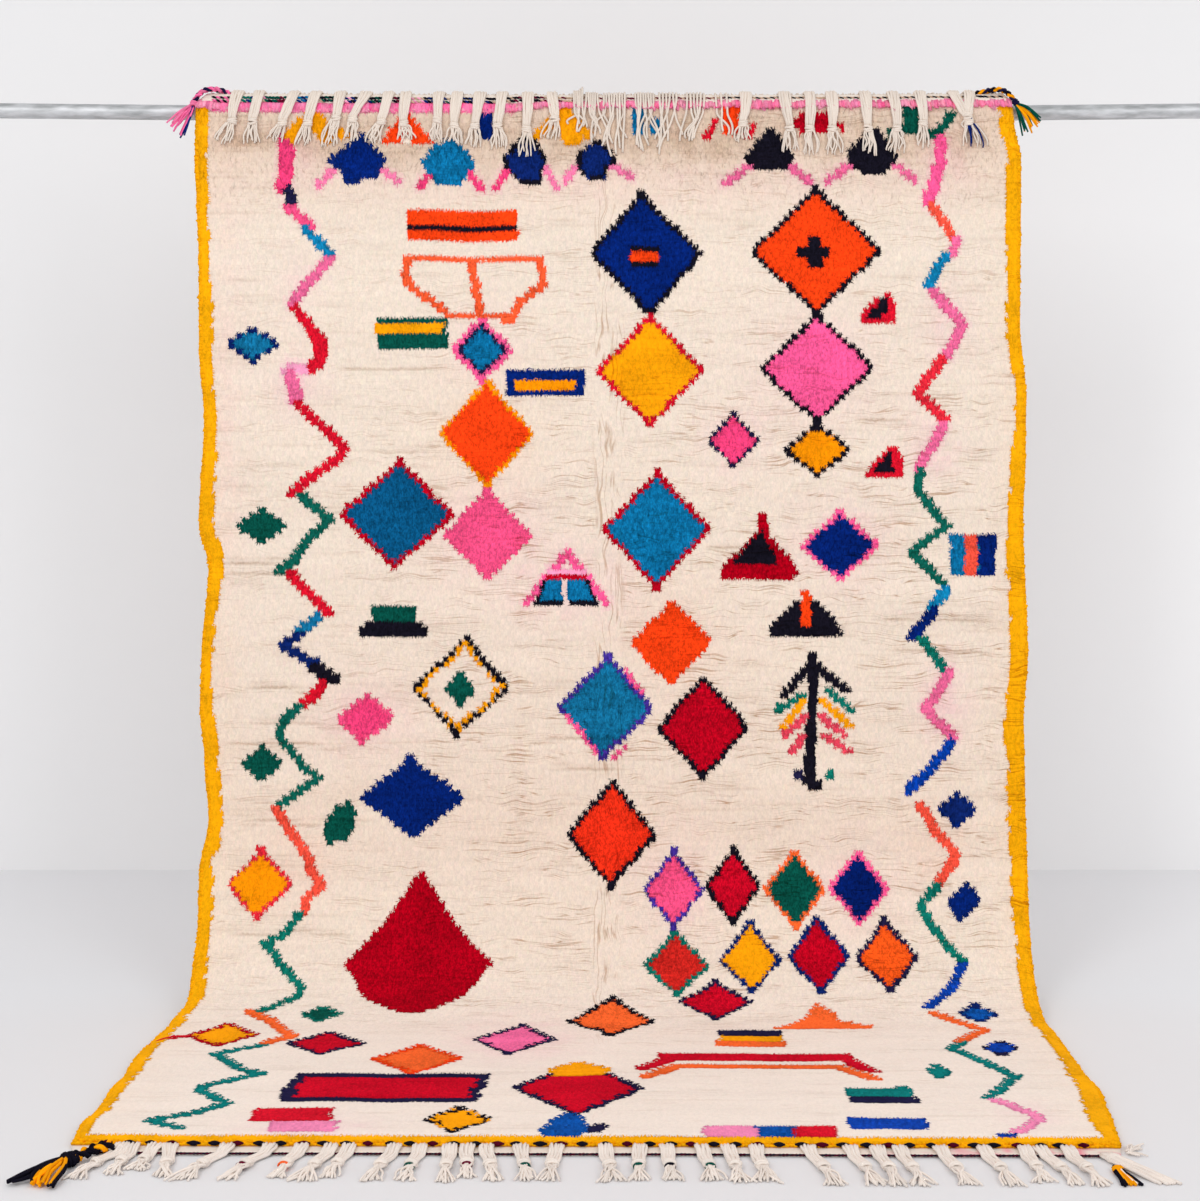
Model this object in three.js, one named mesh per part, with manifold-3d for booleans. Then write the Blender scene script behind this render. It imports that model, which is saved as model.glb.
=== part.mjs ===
// An azilal rug hung from a rail by one end, with its other end run out over the floor.
// Millimetres. +X runs along the rail, -Y towards the viewer and +Z up.
// The origin is on the floor, under the middle of the part's box.
// A place on the rug is given as u, across from its middle line, and s, along the cloth from its top end.

import * as THREE from 'three';
import Module from 'manifold-3d';

const wasm = await Module();
wasm.setup();

// Rail: a plain round tube with closed ends that bows a little under the rug.
const RAIL_LENGTH = 2500;
const RAIL_RADIUS = 15;
const RAIL_HEIGHT = 1711; // of its axis, at the middle
const RAIL_BOW = 8; // the ends stand this much above the middle
const RAIL_Y = 514;
const RAIL_SIDES = 24;
const RAIL_STEPS = 16;

// Rug: a knotted cloth with a flat-woven end at the top and at the bottom.
const RUG_WIDTH = 1600;
const WEAVE = 4; // thickness of the ground weave
const PILE = 15; // thickness of weave and pile together
const HEAD_TIP = 9; // thickness of the turned heading at its end, behind the rail
const HEAD_TOP = 18.5; // and where it lies doubled on top of the rail
const SIDE_ROLL = 14; // the pile thins out over this width at each side
const SIDE_THIN = 0.5;
const LOOP_RADIUS = 17; // of the back of the cloth where it goes over the rail
const LOOP_DROP = 1.4; // the loop's centre lies this far under the rail's axis
const LOOP_BACK_DEG = 60; // how far past the top the end reaches behind the rail
const LOOP_STEPS = 8;
const BEND_RADIUS = 305; // of the back face, where the cloth turns onto the floor
const FLOOR_RUN = 601;
const FLOOR_SKEW = -24; // the front end lies this far to one side
const BOTTOM_WEAVE = 27; // length of the flat-woven end in front
const BOTTOM_SLOPE = 14; // the pile's front slope
const CREASE = { u: -10, width: 22, height: 2.5 }; // the ridge of an old fold
const WAVE_START = 160; // no waves above this, under the fringe
const WAVE_FULL = 330;

// Fringe.
const FRINGE_GAP = 0.5; // between a backing strip and the cloth's end
const STRIP_DEPTH = 5;
const LIFT_GAP = 0.6; // between the fringe and the face that it hangs in front of
const STRAP_WIDTH = 12;
const STRAP_THICK = 3.4;
const KNOT_WIDTH = 16;
const KNOT_THICK = 8;
const KNOT_LENGTH = 11;
const STRAND_HALF = 1.6;
const STRANDS_PER_STRAP = 5;
const TOP_LINE = RAIL_HEIGHT - LOOP_DROP + LOOP_RADIUS + HEAD_TOP; // drops are measured down from here
const TOP_STRIP_LEFT = -750;
const TOP_STRIP_RIGHT = 710;
const FLOOR_STRAP_THICK = 4;
const FLOOR_KNOT_THICK = 8;
const FLOOR_STRAND_WIDTH = 3.6;
const FLOOR_STRAND_HEIGHT = 3.2;
const FLOOR_STRIP_LEFT = -772;
const FLOOR_STRIP_RIGHT = 716;
const KNOT_SHARE = 0.42; // of a floor tassel's reach

const COLOURS = {
  steel: '#a9adad',
  pile: '#ecdfd0',
  cotton: '#e9ded0',
  pink: '#d77ba4',
  gold: '#e0a12a',
  black: '#24222b',
};

// How far each side of the cloth stands out from its straight line, going down the cloth.
const LEFT_SIDE = [
  { s: 0, out: -8 },
  { s: 40, out: 6 },
  { s: 330, out: 5 },
  { s: 500, out: 6 },
  { s: 640, out: -4 },
  { s: 850, out: 6 },
  { s: 930, out: -13 },
  { s: 1110, out: 1 },
  { s: 1200, out: 4 },
  { s: 1310, out: -5 },
  { s: 1420, out: -13 },
  { s: 1520, out: 1 },
  { s: 1700, out: -9 },
  { s: 1810, out: -17 },
  { s: 1960, out: -5 },
  { s: 2080, out: 15 },
  { s: 2190, out: 8 },
  { s: 2290, out: 14 },
  { s: 2380, out: 10 },
  { s: 2470, out: 18 },
  { s: 2557, out: 12 },
];
const RIGHT_SIDE = [
  { s: 0, out: -20 },
  { s: 60, out: -11 },
  { s: 140, out: -1 },
  { s: 460, out: 1 },
  { s: 590, out: 7 },
  { s: 710, out: 18 },
  { s: 830, out: 7 },
  { s: 1100, out: 16 },
  { s: 1230, out: 8 },
  { s: 1380, out: 11 },
  { s: 1520, out: 15 },
  { s: 1850, out: 4 },
  { s: 1980, out: 12 },
  { s: 2150, out: 15 },
  { s: 2250, out: 29 },
  { s: 2350, out: 25 },
  { s: 2440, out: 16 },
  { s: 2557, out: 3 },
];
const FRONT_EDGE = [
  { x: -830, out: 0 },
  { x: 0, out: 2 },
  { x: 790, out: 8 },
];

// Soft troughs across the hanging cloth. "across" and "along" are half widths.
const TROUGHS = [
  { u: -560, s: 520, across: 240, along: 40, depth: 6 },
  { u: 470, s: 640, across: 190, along: 60, depth: 4 },
  { u: -610, s: 850, across: 170, along: 50, depth: 7 },
  { u: 560, s: 920, across: 150, along: 45, depth: 6 },
  { u: -110, s: 960, across: 160, along: 40, depth: 4 },
  { u: 600, s: 1070, across: 170, along: 40, depth: 4 },
  { u: -390, s: 1210, across: 170, along: 45, depth: 5 },
  { u: 330, s: 1290, across: 260, along: 50, depth: 5 },
  { u: -650, s: 1310, across: 140, along: 40, depth: 5 },
  { u: -480, s: 1400, across: 180, along: 40, depth: 6 },
];

// Where the rug's columns lie, as shares of its width.
const COLUMNS = [-1, -0.9825, -0.87, -0.74, -0.61, -0.48, -0.35, -0.23, -0.12, -0.05, -0.0125,
  0.025, 0.09, 0.2, 0.32, 0.45, 0.58, 0.71, 0.85, 0.9825, 1];

// The top end's straps: root and knot across, the knot's drop, the fan's sides and the tips' drop.
const TOP_STRAPS = [
  { root: -732, knot: -738, drop: 50, left: -770, right: -738, end: 98 },
  { root: -689, knot: -698, drop: 50, left: -716, right: -686, end: 98 },
  { root: -621, knot: -640, drop: 53, left: -668, right: -640, end: 94 },
  { root: -578, knot: -591, drop: 53, left: -615, right: -586, end: 100 },
  { root: -529, knot: -535, drop: 42, left: -564, right: -536, end: 102 },
  { root: -480, knot: -503, drop: 46, left: -524, right: -494, end: 92 },
  { root: -435, knot: -447, drop: 50, left: -474, right: -448, end: 98 },
  { root: -402, knot: -404, drop: 53, left: -420, right: -384, end: 94 },
  { root: -336, knot: -338, drop: 47, left: -350, right: -330, end: 94 },
  { root: -301, knot: -305, drop: 57, left: -321, right: -291, end: 100 },
  { root: -256, knot: -265, drop: 58, left: -282, right: -254, end: 103 },
  { root: -213, knot: -221, drop: 57, left: -236, right: -202, end: 111 },
  { root: -162, knot: -164, drop: 64, left: -184, right: -152, end: 121 },
  { root: -115, knot: -109, drop: 43, left: -136, right: -104, end: 90 },
  { root: 265, knot: 258, drop: 53, left: 242, right: 270, end: 92 },
  { root: 340, knot: 349, drop: 63, left: 336, right: 366, end: 111 },
  { root: 390, knot: 388, drop: 63, left: 374, right: 404, end: 117 },
  { root: 433, knot: 432, drop: 64, left: 418, right: 450, end: 117 },
  { root: 498, knot: 502, drop: 64, left: 490, right: 520, end: 121 },
  { root: 554, knot: 558, drop: 64, left: 540, right: 572, end: 117 },
  { root: 607, knot: 609, drop: 54, left: 596, right: 624, end: 107 },
  { root: 672, knot: 694, drop: 52, left: 690, right: 724, end: 103 },
];

// Single warp ends that were left loose in the middle of the top end.
const LOOSE_ENDS = [
  { root: -62, tip: -76, end: 84 },
  { root: -40, tip: -28, end: 101 },
  { root: -12, tip: 6, end: 117 },
  { root: 14, tip: 24, end: 108 },
  { root: 62, tip: 56, end: 115 },
  { root: 84, tip: 98, end: 112 },
  { root: 118, tip: 122, end: 92 },
  { root: 146, tip: 138, end: 105 },
  { root: 182, tip: 178, end: 99 },
  { root: 214, tip: 222, end: 101 },
];

// The front end's tassels on the floor, in place along X: root, middle of the tips, width there and reach.
const FLOOR_TASSELS = [
  { root: -758, tip: -804, spread: 30, reach: 98 },
  { root: -742, tip: -750, spread: 22, reach: 80 },
  { root: -708, tip: -718, spread: 30, reach: 62 },
  { root: -684, tip: -672, spread: 26, reach: 88 },
  { root: -596, tip: -642, spread: 32, reach: 100 },
  { root: -530, tip: -577, spread: 26, reach: 98 },
  { root: -482, tip: -506, spread: 20, reach: 92 },
  { root: -436, tip: -464, spread: 32, reach: 103 },
  { root: -408, tip: -426, spread: 22, reach: 90 },
  { root: -338, tip: -363, spread: 24, reach: 100 },
  { root: -298, tip: -313, spread: 24, reach: 100 },
  { root: -252, tip: -254, spread: 20, reach: 105 },
  { root: -226, tip: -220, spread: 20, reach: 88 },
  { root: -196, tip: -180, spread: 20, reach: 100 },
  { root: -143, tip: -130, spread: 26, reach: 98 },
  { root: -88, tip: -98, spread: 26, reach: 98 },
  { root: -13, tip: -2, spread: 38, reach: 103 },
  { root: 40, tip: 36, spread: 26, reach: 98 },
  { root: 82, tip: 86, spread: 24, reach: 97 },
  { root: 136, tip: 149, spread: 30, reach: 97 },
  { root: 177, tip: 188, spread: 26, reach: 104 },
  { root: 219, tip: 226, spread: 34, reach: 104 },
  { root: 300, tip: 328, spread: 26, reach: 112 },
  { root: 364, tip: 389, spread: 26, reach: 112 },
  { root: 405, tip: 420, spread: 22, reach: 114 },
  { root: 440, tip: 456, spread: 32, reach: 112 },
  { root: 503, tip: 524, spread: 26, reach: 112 },
  { root: 569, tip: 591, spread: 24, reach: 113 },
  { root: 632, tip: 639, spread: 24, reach: 100 },
  { root: 657, tip: 684, spread: 22, reach: 113 },
  { root: 698, tip: 720, spread: 28, reach: 114 },
];

// The yarns plaited off each corner. Tails start at the plait's end and are straight but for one bend.
const PLAIT_RADIUS = 6.2;
const PLAIT_SIDES = 6;
const PLAIT_DIP = 0.72; // the hollow between two lobes, as a share of the radius
const PLAIT_STEPS_PER_MM = 0.22;
const PLAIT_TURN_DEG = 26; // per step
const TAIL_RADIUS = 2.6;

const RAD = Math.PI / 180;
const LOOP_BACK = LOOP_BACK_DEG * RAD;
const LOOP_LENGTH = LOOP_RADIUS * (LOOP_BACK + Math.PI / 2);
const HANG_TOP = RAIL_HEIGHT - LOOP_DROP;
const HANG_LENGTH = HANG_TOP - BEND_RADIUS;
const HANG_Y = RAIL_Y - LOOP_RADIUS;
const BEND_LENGTH = BEND_RADIUS * Math.PI / 2;
const BEND_START = LOOP_LENGTH + HANG_LENGTH;
const FLOOR_START = BEND_START + BEND_LENGTH;
const RUG_LENGTH = FLOOR_START + FLOOR_RUN;
const FLOOR_Y = HANG_Y - BEND_RADIUS; // where the back of the cloth meets the floor

const clamp = (value, low, high) => Math.min(high, Math.max(low, value));
const mix = (a, b, share) => a + (b - a) * share;

function smooth(value, low, high) {
  const t = clamp((value - low) / (high - low), 0, 1);
  return t * t * (3 - 2 * t);
}

// The value of column "out" at a place, read from a table that runs along column "key".
function outAt(table, key, place) {
  const next = table.findIndex((row) => row[key] >= place);
  if (next === 0) {
    return table[0].out;
  }
  if (next < 0) {
    return table[table.length - 1].out;
  }
  const a = table[next - 1];
  const b = table[next];
  return mix(a.out, b.out, smooth(place, a[key], b[key]));
}

// A line of points worked out from a formula, with both ends included.
function steps(from, to, count) {
  return Array.from({ length: count + 1 }, (_, i) => mix(from, to, i / count));
}

// How far the bowed rail stands above its middle at x.
const bow = (x) => RAIL_BOW * (x / (RAIL_LENGTH / 2)) ** 2;

// The back of the cloth at s: its place and the direction of its pile, in the Y-Z plane.
function ground(s) {
  if (s < LOOP_LENGTH) {
    const a = s / LOOP_RADIUS - LOOP_BACK;
    const y = HANG_Y + LOOP_RADIUS - LOOP_RADIUS * Math.sin(a);
    return { y, z: HANG_TOP + LOOP_RADIUS * Math.cos(a), ny: -Math.sin(a), nz: Math.cos(a) };
  }
  if (s < BEND_START) {
    return { y: HANG_Y, z: HANG_TOP - (s - LOOP_LENGTH), ny: -1, nz: 0 };
  }
  if (s < FLOOR_START) {
    const a = (s - BEND_START) / BEND_RADIUS;
    const y = FLOOR_Y + BEND_RADIUS * Math.cos(a);
    return { y, z: BEND_RADIUS * (1 - Math.sin(a)), ny: -Math.cos(a), nz: Math.sin(a) };
  }
  return { y: FLOOR_Y - (s - FLOOR_START), z: 0, ny: 0, nz: 1 };
}

// Full height of the pile's face over the back at s, before the sides thin out.
function thickness(s) {
  const crown = LOOP_RADIUS * LOOP_BACK;
  const top = s < crown
    ? mix(HEAD_TIP, HEAD_TOP, smooth(s, 0, crown * 0.8))
    : mix(HEAD_TOP, PILE, smooth(s, crown, LOOP_LENGTH));
  const slopeEnd = RUG_LENGTH - BOTTOM_WEAVE;
  return mix(top, WEAVE, smooth(s, slopeEnd - BOTTOM_SLOPE, slopeEnd));
}

// How far the cloth stands back from its plane at a place on it.
function trough(u, s) {
  const share = smooth(s, WAVE_START, WAVE_FULL) * (1 - smooth(s, BEND_START, FLOOR_START));
  const sum = TROUGHS.reduce(
    (total, t) => total + t.depth * Math.exp(-(((u - t.u) / t.across) ** 2) - ((s - t.s) / t.along) ** 2),
    0,
  );
  return share * sum;
}

// A point of the rug: "column" is a share of the half width and "lift" the height over the back.
function rugPoint(column, s, lift) {
  const half = RUG_WIDTH / 2;
  const side = column < 0 ? half + outAt(LEFT_SIDE, 's', s) : half + outAt(RIGHT_SIDE, 's', s);
  const u = column * side;
  const x = u + FLOOR_SKEW * clamp((s - BEND_START) / (RUG_LENGTH - BEND_START), 0, 1);
  const at = ground(s);
  const off = lift - trough(u, s);
  const reach = outAt(FRONT_EDGE, 'x', x) * clamp((s - FLOOR_START) / FLOOR_RUN, 0, 1);
  const lifted = bow(x) * clamp((at.z - BEND_RADIUS) / (RAIL_HEIGHT - BEND_RADIUS), 0, 1);
  return new THREE.Vector3(x, at.y + at.ny * off - reach, at.z + at.nz * off + lifted);
}

// A closed solid from shared vertices and triangles, turned so that its faces point out.
function solid(points, triangles) {
  const corners = triangles.map((t) => t.map((i) => points[i]));
  const volume = corners.reduce((sum, [a, b, c]) => sum + a.dot(b.clone().cross(c)), 0);
  const index = volume > 0 ? triangles.flat() : triangles.flatMap(([a, b, c]) => [a, c, b]);
  const geometry = new THREE.BufferGeometry();
  geometry.setAttribute('position', new THREE.Float32BufferAttribute(points.flatMap((p) => p.toArray()), 3));
  geometry.setIndex(index);
  return geometry;
}

// A solid through rings of points. Each ring goes the same way round and the end rings are capped.
function loft(rings) {
  const sides = rings[0].length;
  const triangles = [];
  for (let r = 0; r + 1 < rings.length; r += 1) {
    for (let i = 0; i < sides; i += 1) {
      const a = r * sides + i;
      const b = r * sides + ((i + 1) % sides);
      triangles.push([a, b, b + sides], [a, b + sides, a + sides]);
    }
  }
  const last = (rings.length - 1) * sides;
  for (let i = 1; i + 1 < sides; i += 1) {
    triangles.push([0, i + 1, i], [last, last + i, last + i + 1]);
  }
  return solid(rings.flat(), triangles);
}

function toManifold(geometry) {
  const position = geometry.getAttribute('position').array;
  return new wasm.Manifold(new wasm.Mesh({
    numProp: 3,
    vertProperties: Float32Array.from(position),
    triVerts: Uint32Array.from(geometry.index.array),
  }));
}

// One solid from several that overlap.
function fuse(geometries) {
  const whole = geometries.map(toManifold).reduce((a, b) => a.add(b));
  const mesh = whole.getMesh();
  const geometry = new THREE.BufferGeometry();
  geometry.setAttribute('position', new THREE.BufferAttribute(Float32Array.from(mesh.vertProperties), 3));
  geometry.setIndex(Array.from(mesh.triVerts));
  return geometry;
}

// Rings of a tube along a curve. "radius" gives the section's radius from its place round and along.
function tubeRings(curve, count, sides, radius) {
  const frames = curve.computeFrenetFrames(count, false);
  return steps(0, 1, count).map((t, i) => {
    const centre = curve.getPointAt(t);
    return steps(0, 2 * Math.PI, sides).slice(0, -1).map((angle, k) => {
      const r = radius(k, i);
      return centre.clone()
        .addScaledVector(frames.normals[i], r.across * Math.cos(angle + r.turn))
        .addScaledVector(frames.binormals[i], r.across * Math.sin(angle + r.turn));
    });
  });
}

function railGeometry() {
  return loft(steps(-RAIL_LENGTH / 2, RAIL_LENGTH / 2, RAIL_STEPS).map((x) => (
    steps(0, 2 * Math.PI, RAIL_SIDES).slice(0, -1).map((angle) => new THREE.Vector3(
      x,
      RAIL_Y + RAIL_RADIUS * Math.cos(angle),
      RAIL_HEIGHT + bow(x) + RAIL_RADIUS * Math.sin(angle),
    ))
  )));
}

function rugGeometry() {
  const stations = [
    ...steps(0, LOOP_LENGTH, LOOP_STEPS),
    ...steps(LOOP_LENGTH, 330, 4).slice(1),
    ...steps(330, BEND_START, 14).slice(1),
    ...steps(BEND_START, FLOOR_START, 10).slice(1),
    ...steps(FLOOR_START, RUG_LENGTH - BOTTOM_WEAVE - BOTTOM_SLOPE, 6).slice(1),
    RUG_LENGTH - BOTTOM_WEAVE - BOTTOM_SLOPE / 2,
    RUG_LENGTH - BOTTOM_WEAVE,
    RUG_LENGTH,
  ];
  const face = (column, s) => {
    const full = thickness(s);
    const inner = 1 - SIDE_ROLL / (RUG_WIDTH / 2);
    const base = Math.min(full, WEAVE);
    const side = mix(1, SIDE_THIN, smooth(Math.abs(column), inner, 1));
    const ridge = CREASE.height * Math.exp(-(((column * RUG_WIDTH / 2 - CREASE.u) / CREASE.width) ** 2));
    const shown = smooth(s, WAVE_START, WAVE_FULL) * (1 - smooth(s, FLOOR_START, RUG_LENGTH - 60));
    return base + (full - base) * side + ridge * shown;
  };
  const rings = stations.map((s) => [
    ...COLUMNS.map((column) => rugPoint(column, s, 0)),
    ...COLUMNS.slice().reverse().map((column) => rugPoint(column, s, face(column, s))),
  ]);
  // The end rings are long and thin, so they are capped as strips between back and face.
  const sides = rings[0].length;
  const triangles = [];
  for (let r = 0; r + 1 < rings.length; r += 1) {
    for (let i = 0; i < sides; i += 1) {
      const a = r * sides + i;
      const b = r * sides + ((i + 1) % sides);
      triangles.push([a, b, b + sides], [a, b + sides, a + sides]);
    }
  }
  const last = (rings.length - 1) * sides;
  for (let i = 0; i + 1 < COLUMNS.length; i += 1) {
    const j = sides - 1 - i;
    triangles.push([i, j, i + 1], [i + 1, j, j - 1]);
    triangles.push([last + i, last + i + 1, last + j], [last + i + 1, last + j - 1, last + j]);
  }
  return solid(rings.flat(), triangles);
}

// A point over the face of the cloth's top end, at x and "lift" above the pile.
function topPoint(s, x, lift) {
  const at = ground(s);
  const off = thickness(s) + lift;
  return new THREE.Vector3(x, at.y + at.ny * off, at.z + at.nz * off + bow(x));
}

const sAtDrop = (drop) => LOOP_LENGTH + HANG_TOP - (TOP_LINE - drop);

// Four corners of a flat yarn at one place of its run down the front.
function strapRing(s, x, width, thick) {
  return [
    topPoint(s, x - width / 2, LIFT_GAP),
    topPoint(s, x + width / 2, LIFT_GAP),
    topPoint(s, x + width / 2, LIFT_GAP + thick),
    topPoint(s, x - width / 2, LIFT_GAP + thick),
  ];
}

// Three corners of a strand. Its lift is that of its back.
function strandRing(s, x, half, lift) {
  return [
    topPoint(s, x - half, lift),
    topPoint(s, x + half, lift),
    topPoint(s, x, lift + 2 * half),
  ];
}

function topStrap(strap) {
  const knotTop = sAtDrop(strap.drop);
  const lean = (s) => mix(strap.root, strap.knot, smooth(s, LOOP_LENGTH / 2, knotTop));
  const over = [-FRINGE_GAP - STRIP_DEPTH / 2, ...steps(0, LOOP_LENGTH, LOOP_STEPS)];
  const rings = over.map((s) => strapRing(s, lean(s), STRAP_WIDTH, STRAP_THICK));
  rings.push(
    strapRing(knotTop, strap.knot, STRAP_WIDTH * 0.9, STRAP_THICK),
    strapRing(knotTop + KNOT_LENGTH * 0.4, strap.knot, KNOT_WIDTH, KNOT_THICK),
    strapRing(knotTop + KNOT_LENGTH, strap.knot, KNOT_WIDTH, KNOT_THICK * 0.7),
  );
  const strands = steps(-0.5, 0.5, STRANDS_PER_STRAP - 1).map((share, i) => {
    const start = strap.knot + share * (KNOT_WIDTH - 2 * STRAND_HALF - 0.2);
    const tip = mix(strap.left, strap.right, share + 0.5);
    const lift = LIFT_GAP + (i % 2) * 1.2;
    const end = sAtDrop(strap.end - (i % 3) * 3);
    const middle = mix(knotTop + KNOT_LENGTH, end, 0.45);
    return loft([
      strandRing(knotTop + KNOT_LENGTH * 0.6, start, STRAND_HALF * 0.8, lift + 0.4),
      strandRing(middle, mix(start, tip, 0.62), STRAND_HALF * 0.9, lift),
      strandRing(end, tip, STRAND_HALF * 0.7, lift),
    ]);
  });
  return [loft(rings), ...strands];
}

function looseEnd(end) {
  const tip = sAtDrop(end.end);
  const run = [-FRINGE_GAP - STRIP_DEPTH / 2, ...steps(0, LOOP_LENGTH, LOOP_STEPS), mix(LOOP_LENGTH, tip, 0.5), tip];
  return loft(run.map((s, i) => {
    const x = mix(end.root, end.tip, smooth(s, LOOP_LENGTH / 2, tip)) + 2.5 * Math.sin(i * 0.9 + end.root);
    return strandRing(s, x, STRAND_HALF, LIFT_GAP + (i === run.length - 1 ? 1 : 0));
  }));
}

// The narrow strip that holds the top fringe, behind the cloth's end.
function topStrip() {
  const span = steps(TOP_STRIP_LEFT, TOP_STRIP_RIGHT, 14);
  const near = -FRINGE_GAP;
  const far = -FRINGE_GAP - STRIP_DEPTH;
  return loft(span.map((x) => [
    topPoint(near, x, 1 - HEAD_TIP),
    topPoint(near, x, LIFT_GAP + STRAP_THICK),
    topPoint(far, x, LIFT_GAP + STRAP_THICK),
    topPoint(far, x, 1 - HEAD_TIP),
  ]));
}

const frontY = (x) => FLOOR_Y - FLOOR_RUN - outAt(FRONT_EDGE, 'x', x);

function flatRing(x, y, width, height) {
  return [
    new THREE.Vector3(x - width / 2, y, 0),
    new THREE.Vector3(x + width / 2, y, 0),
    new THREE.Vector3(x + width / 2, y, height),
    new THREE.Vector3(x - width / 2, y, height),
  ];
}

function floorStrand(from, to, width, height) {
  const along = to.clone().sub(from).normalize();
  const across = new THREE.Vector2(-along.y, along.x).multiplyScalar(width / 2);
  const ring = (p, scale) => [
    new THREE.Vector3(p.x - across.x * scale, p.y - across.y * scale, 0),
    new THREE.Vector3(p.x + across.x * scale, p.y + across.y * scale, 0),
    new THREE.Vector3(p.x, p.y, height * scale),
  ];
  const middle = from.clone().lerp(to, 0.5);
  return loft([ring(from, 0.85), ring(middle, 1), ring(to, 0.75)]);
}

function floorTassel(tassel) {
  const edge = frontY(tassel.root) - FRINGE_GAP;
  const knotY = edge - tassel.reach * KNOT_SHARE;
  const knotX = mix(tassel.root, tassel.tip, 0.55);
  const end = knotY - KNOT_LENGTH;
  const strap = loft([
    flatRing(tassel.root, edge - STRIP_DEPTH / 2, STRAP_WIDTH, FLOOR_STRAP_THICK * 0.9),
    flatRing(mix(tassel.root, knotX, 0.4), mix(edge, knotY, 0.5), STRAP_WIDTH * 0.9, FLOOR_STRAP_THICK),
    flatRing(knotX, knotY, STRAP_WIDTH * 0.9, FLOOR_STRAP_THICK),
    flatRing(knotX, knotY - KNOT_LENGTH * 0.4, KNOT_WIDTH, FLOOR_KNOT_THICK),
    flatRing(knotX, end, KNOT_WIDTH + 1, FLOOR_KNOT_THICK * 0.6),
  ]);
  const strands = steps(-0.5, 0.5, STRANDS_PER_STRAP - 1).map((share, i) => {
    const from = new THREE.Vector2(knotX + share * (KNOT_WIDTH - 3.4), end + KNOT_LENGTH * 0.35);
    const tip = new THREE.Vector2(tassel.tip + share * tassel.spread, edge - tassel.reach + (i % 3) * 4);
    return floorStrand(from, tip, FLOOR_STRAND_WIDTH * 0.85, FLOOR_STRAND_HEIGHT);
  });
  return [strap, ...strands];
}

// The narrow strip that holds the front fringe, beside the cloth's end.
function floorStrip() {
  return loft(steps(FLOOR_STRIP_LEFT, FLOOR_STRIP_RIGHT, 8).map((x) => {
    const near = frontY(x) - FRINGE_GAP;
    return [
      new THREE.Vector3(x, near, 0),
      new THREE.Vector3(x, near, WEAVE),
      new THREE.Vector3(x, near - STRIP_DEPTH, WEAVE),
      new THREE.Vector3(x, near - STRIP_DEPTH, 0),
    ];
  }));
}

const point = ([x, y, z]) => new THREE.Vector3(x, y, z);

// A plait with its ridged twist, and the loose tails at its end.
function plait({ route, tails }) {
  const curve = new THREE.CatmullRomCurve3(route.map(point));
  const count = Math.round(curve.getLength() * PLAIT_STEPS_PER_MM);
  const rings = tubeRings(curve, count, PLAIT_SIDES, (k, i) => ({
    across: PLAIT_RADIUS * (k % 2 ? PLAIT_DIP : 1) * (i === 0 || i === count ? 0.7 : 1),
    turn: i * PLAIT_TURN_DEG * RAD,
  }));
  const ends = tails.map((tail) => {
    const line = new THREE.CatmullRomCurve3(tail.map(point));
    return loft(tubeRings(line, 3, 4, (k, i) => ({ across: TAIL_RADIUS * (i === 3 ? 0.6 : 1), turn: Math.PI / 4 })));
  });
  return fuse([loft(rings), ...ends]);
}

const PLAITS = {
  plait_top_left: {
    colour: COLOURS.pink,
    route: [[-750, 511, 1753.3], [-774, 506, 1753.4], [-800, 499, 1749.5], [-815, 490, 1732], [-819, 486, 1720]],
    tails: [
      [[-819, 486, 1722], [-836, 482, 1708], [-846, 480, 1690]],
      [[-819, 486, 1720], [-830, 482, 1700], [-838, 480, 1680]],
      [[-818, 486, 1718], [-820, 483, 1696], [-826, 481, 1668]],
    ],
  },
  plait_top_right: {
    colour: COLOURS.gold,
    route: [[712, 511, 1753.2], [750, 507, 1753.6], [780, 500, 1750.5], [797, 490, 1733], [803, 486, 1722]],
    tails: [
      [[803, 486, 1724], [822, 482, 1718], [838, 480, 1700]],
      [[803, 486, 1722], [819, 482, 1702], [832, 480, 1680]],
      [[802, 486, 1720], [805, 483, 1698], [804, 481, 1671]],
    ],
  },
  plait_floor_left: {
    colour: COLOURS.black,
    route: [[-790, -396, 10.3], [-800, -411, 10.3], [-814, -428, 8], [-828, -446, 6.4]],
    tails: [
      [[-826, -444, 2], [-858, -472, 2], [-893, -500, 2]],
      [[-828, -446, 2], [-850, -478, 2], [-872, -508, 2]],
      [[-829, -446, 2], [-834, -484, 2], [-841, -520, 2]],
    ],
  },
};

// Loose yarn ends gathered at the front's right corner, flat on the floor.
const CORNER_BUNDLE = {
  head: { x: 752, width: 26, height: 11, length: 26 },
  tipLeft: 800,
  tipRight: 838,
  reach: 112,
  strands: 7,
};
const CORNER_TASSEL = {
  head: { x: 756.2, y: -458, width: 18, height: 9, length: 16 },
  tipLeft: 748,
  tipRight: 781,
  endY: -525,
  strands: 5,
};

function cornerBundle() {
  const { head, tipLeft, tipRight, reach, strands } = CORNER_BUNDLE;
  const edge = frontY(head.x) - FRINGE_GAP;
  const neck = edge - head.length;
  const lean = 14;
  const body = loft([
    flatRing(head.x, edge, head.width * 0.8, head.height * 0.7),
    flatRing(head.x + lean * 0.5, mix(edge, neck, 0.5), head.width, head.height),
    flatRing(head.x + lean, neck, head.width * 1.05, head.height * 0.8),
  ]);
  const ends = steps(-0.5, 0.5, strands - 1).map((share, i) => floorStrand(
    new THREE.Vector2(head.x + lean * 0.9 + share * (head.width - 4), neck + 6),
    new THREE.Vector2(mix(tipLeft, tipRight, share + 0.5), edge - reach + (i % 3) * 6),
    FLOOR_STRAND_WIDTH,
    FLOOR_STRAND_HEIGHT * 1.2,
  ));
  return fuse([body, ...ends]);
}

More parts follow.
